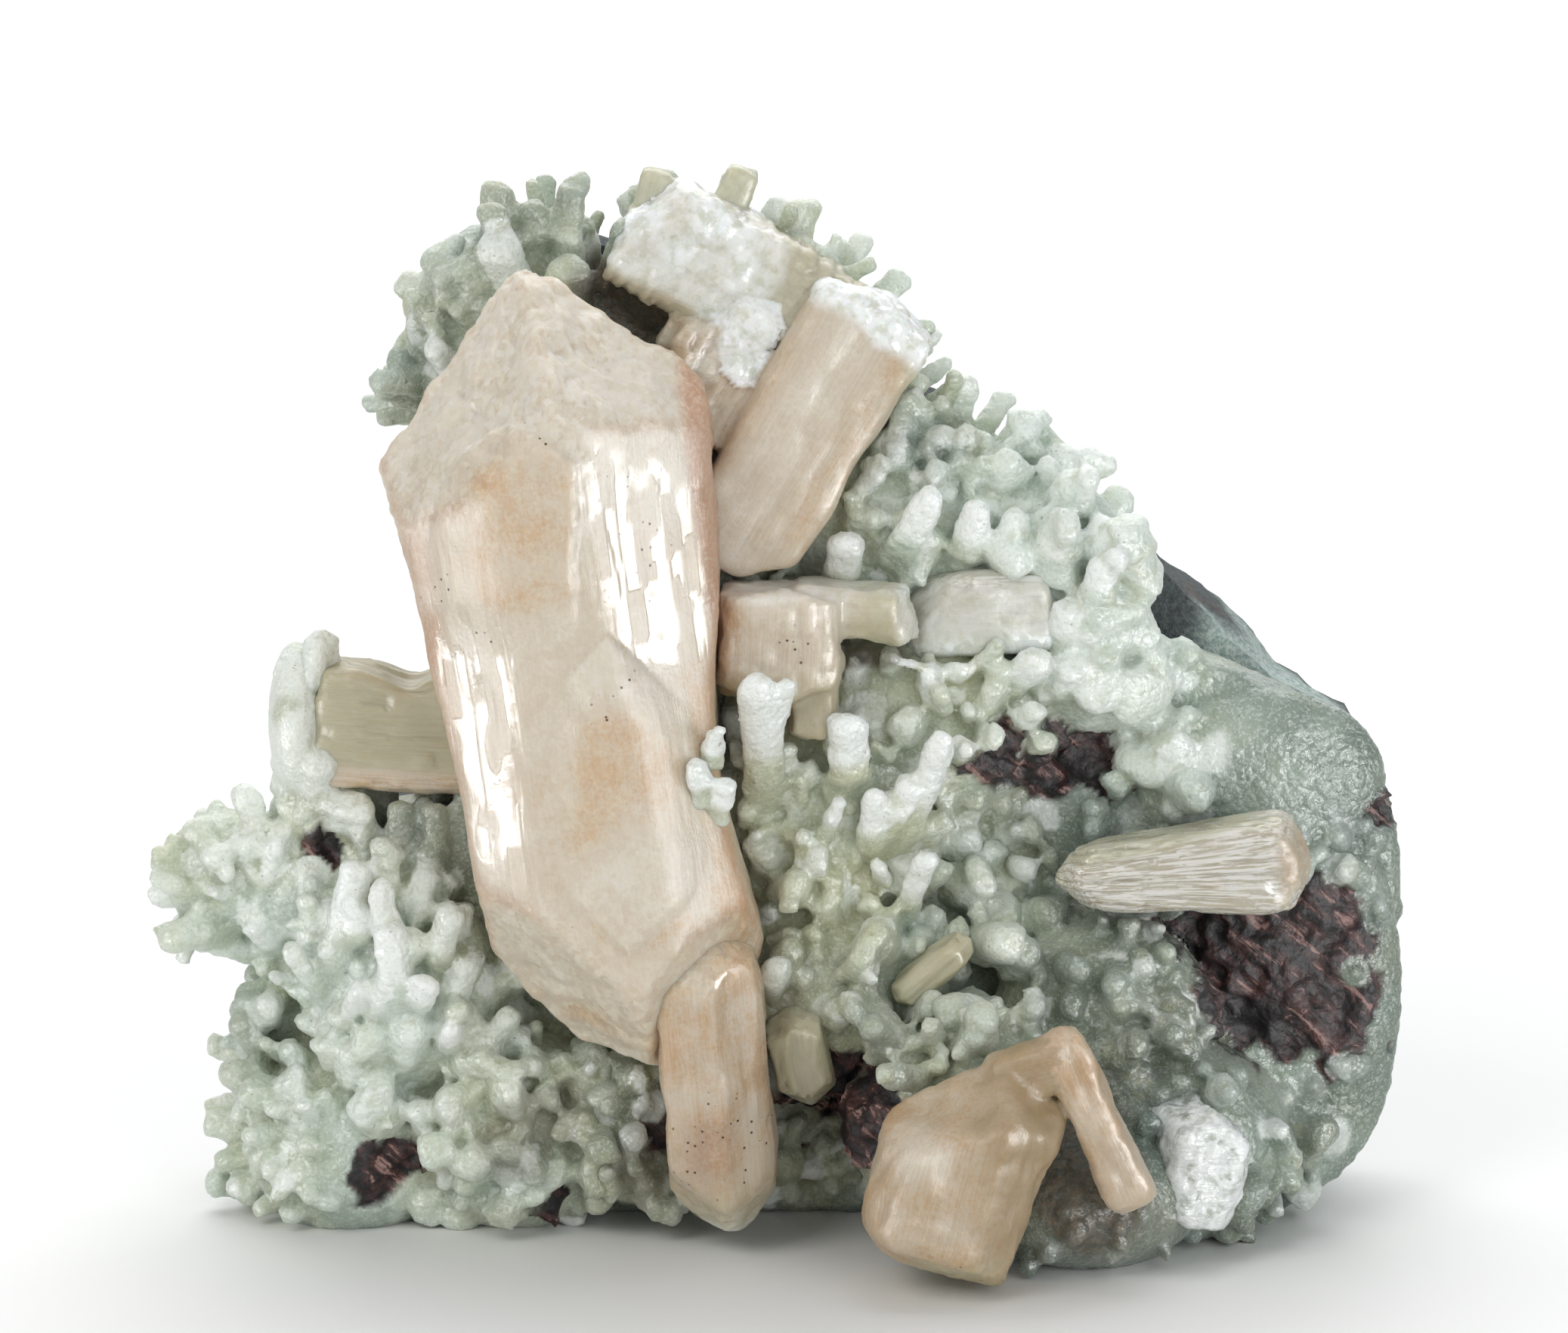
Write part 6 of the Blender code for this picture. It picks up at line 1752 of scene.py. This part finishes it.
def crustPiece(pad, grown, finish):
    mine = [finger for finger in grown if finger[0] == pad]
    rng = random.Random(growth["seed"] + len(mine))
    shells = [padSurface(pads[pad])]
    shells += [ballSurface(centre, radii) for home, centre, radii in swellings if home == pad]
    for _, root, tip, radius, white, lift in mine:
        shells.append(fingerShell(root, tip, radius, rng, white == 1, lift))
    points, quads, outward = fused(shells, crust["voxel"], crust["smoothing"])
    x, y, z = points.T
    share, distance, white = onFingers(points, mine)
    finger = smoothStep(share, 0.30, 0.6) * (1 - smoothStep(distance, 1.7, 2.2))
    warp = points + 1.5 * np.stack([smoothNoise(points, 4.0, seed) for seed in (1, 2, 3)], axis=1)
    oxide = np.zeros(len(points))
    ragged = layeredNoise(points, 2.4, 26, 3)
    for middle, half, tilt in oxidePatches:
        near = ellipseField(warp[:, 0], warp[:, 2], middle, half, tilt)
        oxide = np.maximum(oxide, 1 - smoothStep(near + 0.22 * ragged, 0.9, 1.02))
    oxide *= (1 - finger) * smoothStep(-outward[:, 1], -0.3, 0.2)
    # Painted shade in the grey-brown hollows, over their own colour
    hollowShade = np.zeros(len(points))
    for middle, half, tilt, strength in shadedHollows:
        near = ellipseField(warp[:, 0], warp[:, 2], middle, half, tilt)
        hollowShade = np.maximum(hollowShade, strength * (1 - smoothStep(near, 0.7, 1.1)))
    zones = zonesAt(x, z)
    knobs, _, _ = nearestSeed(points, 1.7, 5)
    grains, _, _ = nearestSeed(points, 0.9, 6)
    relief = 0.20 * layeredNoise(points, 4.0, 11, 3) * (1 - 0.6 * finger)
    relief += (0.26 * (0.6 - knobs) * (1 - 0.7 * finger) + 0.20 * (0.6 - grains)) * (1 - oxide)
    strands = np.stack([0.35 * (x - 0.8 * z), y, 0.8 * (z + 0.8 * x)], axis=1)
    ridges = 1 - np.abs(smoothNoise(strands + 0.8 * smoothNoise(points, 3.0, 20)[:, None], 1.3, 21))
    relief += oxide * (1.2 * (ridges - 0.7) + 1.1 * layeredNoise(points, 2.8, 22, 3))
    back = smoothStep(y, crust["back"] - 1.2, crust["back"] - 0.2)
    relief *= 1 - back
    moved = points + outward * relief[:, None]
    moved[:, 2] = np.maximum(moved[:, 2], 0.0)
    moved[:, 1] = np.minimum(moved[:, 1], crust["back"])
    # Painted light and shade by exposure: outwards is high where the crust bulges and towards the fingers'
    # tips, and low in folds and hollows between fingers, which get the painted recess shade
    convex = bulge(points, quads, outward, 3)
    outwards = 0.35 + 0.35 * finger * smoothStep(share, 0.3, 0.8) + 0.5 * smoothStep(convex, -0.25, 0.45)
    outwards = np.clip(outwards + 0.3 * (0.6 - grains) - 0.35 * smoothStep(-convex, 0.1, 0.7), 0, 1)
    frost = np.clip(white, 0, 1) ** 1.5 * finger * smoothStep(share, 0.25, 0.5)
    frost = np.maximum(frost, 0.30 * smoothStep(zones[:, 5], 0.5, 0.95))
    warm = np.clip(zones[:, 6] + 0.25 * smoothNoise(points, 6.0, 24), 0, 1)
    radial = np.where((share > 0.985) & (finger > 0.2), distance, 9.0)
    rings = np.exp(-((radial - 0.45) / 0.16) ** 2) - 0.7 * np.exp(-((radial - 0.12) / 0.14) ** 2)
    fields = {
        "outward": outwards, "frost": frost, "oxide": oxide, "warm": warm, "rings": rings,
        "hollowShade": hollowShade,
        "bright": smoothStep(zones[:, 5] + 0.13 * smoothNoise(points, 4.0, 25), 0.06, 0.5),
    }
    surface = (moved, quads, np.zeros((0, 3), int))
    makePiece(f"crust_{pad}", surface, finish, "chalcedony_crust", fields)


# The rock plate behind the crust

basalt = {
    "front": 8.3,
    "back": 21.0,
    "middle": (-1.0, 44.0),
    "points": 220,
    "rows": 48,
    "rimRows": 16,
    "roughness": 2.2,
    "grain": 9.0,
    "outline": (
        (-50, 0), (-50, 5), (-48, 10), (-49, 16), (-46, 22), (-49, 28), (-54, 30), (-54, 35), (-44, 37),
        (-34, 39), (-26, 46), (-26, 64), (-29, 72), (-33, 80), (-32, 86), (-28, 92), (-20, 94),
        (-11, 93), (-4, 94), (2, 90), (9, 86), (11, 80), (21, 73), (30, 67), (37, 62), (42, 58),
        (48, 52), (55, 48), (58, 43), (60, 34), (60, 24), (57, 13), (53, 5), (49, 0),
    ),
}


def basaltPlate(finish):
    # The same pillow as a pad, flat where it meets the crust, and broken rough round its edge and back
    rim = alongOutline(basalt["outline"], basalt["points"])
    middle = np.array(basalt["middle"])
    front, back, rows, rimRows = (basalt[key] for key in ("front", "back", "rows", "rimRows"))
    inward = np.concatenate([np.linspace(0.02, 1, rows), np.ones(rimRows), np.linspace(1, 0.02, rows)])
    edge = np.linspace(front, back, rimRows + 2)[1:-1]
    depth = np.concatenate([np.full(rows, front), edge, np.full(rows, back)])
    points, quads, triangles = pillow(rim, middle, inward, depth)
    solid = points.copy()
    away = unit(np.stack([points[:, 0] - middle[0], 0 * points[:, 0], points[:, 2] - middle[1]], axis=1))
    rimShare = np.concatenate([np.repeat(smoothStep(inward, 0.9, 1.0), len(rim)), [0, 0]])
    backShare = smoothStep(points[:, 1], front + 0.5, back)
    outward = unit(away * rimShare[:, None] + np.array((0, 1.0, 0)) * backShare[:, None] + 1e-6)
    chips = np.floor(3 * layeredNoise(points, 14.0, 33, 2)) / 3
    knobs, _, _ = nearestSeed(points, 3.2, 35)
    relief = basalt["roughness"] * layeredNoise(points, basalt["grain"], 31, 4)
    relief += 0.9 * chips - 0.8 * (knobs - 0.5)
    rough = np.maximum(backShare, 0.5 * rimShare)
    points = points + outward * (relief * rough)[:, None]
    points[:, 1] = np.maximum(points[:, 1], front)
    points[:, 2] = np.maximum(points[:, 2], 0.0)
    points[solid[:, 2] < 0.5, 2] = 0.0
    wander = layeredNoise(points, 8.0, 38, 3)
    green = smoothStep(points[:, 0] + 4 * wander, 40, 43) * (
        1 - smoothStep(points[:, 1] + 5 * wander, 13, 21)
    )
    green *= 0.8 + 0.2 * smoothNoise(points, 3.0, 37)
    fields = {"green": np.clip(green, 0, 1)}
    makePiece("rock_plate", (points, quads, triangles), finish, "basalt_matrix", fields)


# Stage

stage = {
    "cameraDistance": 620.0, "cameraElevation": 10.0, "cameraAim": (0.0, 0.0, 54.4), "lens": 148.4,
    "floorColour": (236, 236, 234), "floorSize": 8.0, "worldLight": 0.42,
}

# Soft lights: name, place and aim in millimetres, width and height, power and colour
lights = (
    ("key", (-400, -560, 580), (0, 0, 45), (420, 420), 2.1, (1.0, 0.98, 0.95)),
    ("fill", (340, -680, 260), (0, 0, 45), (420, 420), 1.35, (0.95, 0.98, 1.0)),
    ("top", (60, 120, 720), (0, 0, 40), (500, 400), 0.9, (1.0, 1.0, 1.0)),
    ("far_floor", (0, 1900, 1500), (0, 1700, 0), (3200, 2200), 60.0, (1.0, 1.0, 1.0)),
    ("low_right", (118, -98, 40), (-8, -16, 66), (90, 70), 0.34, (1.0, 1.0, 1.0)),
    ("low_left", (-160, -80, 24), (-24, -16, 48), (70, 44), 0.22, (1.0, 1.0, 1.0)),
)
glossOnly = ("low_right", "low_left")


def aimed(thing, place, aim):
    place = (np.array(place, float) + originShift) * mm
    aim = (np.array(aim, float) + originShift) * mm
    thing.location = place
    way = thing.location.copy()
    way.xyz = aim - place
    thing.rotation_euler = way.to_track_quat("-Z", "Y").to_euler()


def makeStage():
    size = stage["floorSize"] / 2
    floorMesh = bpy.data.meshes.new("floor")
    floorMesh.from_pydata(
        [(-size, -size, 0), (size, -size, 0), (size, size, 0), (-size, size, 0)], [], [(0, 1, 2, 3)]
    )
    floor = bpy.data.objects.new("floor", floorMesh)
    finish, _, shader = newFinish("floor")
    shader.inputs["Base Color"].default_value = tint(stage["floorColour"])
    shader.inputs["Roughness"].default_value = 0.6
    floorMesh.materials.append(finish)
    bpy.context.scene.collection.objects.link(floor)
    for name, place, aim, (wide, high), power, colour in lights:
        lamp = bpy.data.lights.new(name, "AREA")
        lamp.shape = "RECTANGLE"
        lamp.size, lamp.size_y = wide * mm, high * mm
        lamp.energy = power
        lamp.color = colour
        thing = bpy.data.objects.new(name, lamp)
        bpy.context.scene.collection.objects.link(thing)
        aimed(thing, place, aim)
        if name in glossOnly:
            thing.visible_diffuse = False
            thing.visible_camera = False
    world = bpy.data.worlds.new("studio")
    world.use_nodes = True
    world.node_tree.nodes["Background"].inputs[0].default_value = (0.92, 0.95, 1.0, 1)
    world.node_tree.nodes["Background"].inputs[1].default_value = stage["worldLight"]
    bpy.context.scene.world = world
    lens = bpy.data.cameras.new("camera")
    lens.sensor_width = 36
    lens.lens = stage["lens"]
    lens.clip_start = 0.01
    camera = bpy.data.objects.new("camera", lens)
    bpy.context.scene.collection.objects.link(camera)
    lift = math.radians(stage["cameraElevation"])
    back = np.array((0, -math.cos(lift), math.sin(lift))) * stage["cameraDistance"]
    aimed(camera, np.array(stage["cameraAim"]) + back, stage["cameraAim"])
    bpy.context.scene.camera = camera
    bpy.context.scene.view_settings.view_transform = "Standard"
    print("stage made")


makeStage()
chalcedony = chalcedonyFinish()
peach = stilbiteFinish("stilbite", {}, 0.13)
silky = stilbiteFinish(
    "pale_stilbite",
    {
        "pale": (197, 194, 184), "cream": (181, 175, 157), "orange": (172, 154, 125),
        "pearlSheen": (224, 221, 215),
    },
    0.2,
)
print("finishes made")
largeCrystal(peach)
footCrystal(peach)
upperCluster(peach)
leftBar(peach)
middleBlock(peach)
buriedCrystal(silky)
sheaf(silky)
lowerRight(peach)
smallBlades(peach)
whiteCrystal(calciteFinish())
basaltPlate(basaltFinish())
everyFinger = allFingers()
for padName in pads:
    crustPiece(padName, everyFinger, chalcedony)
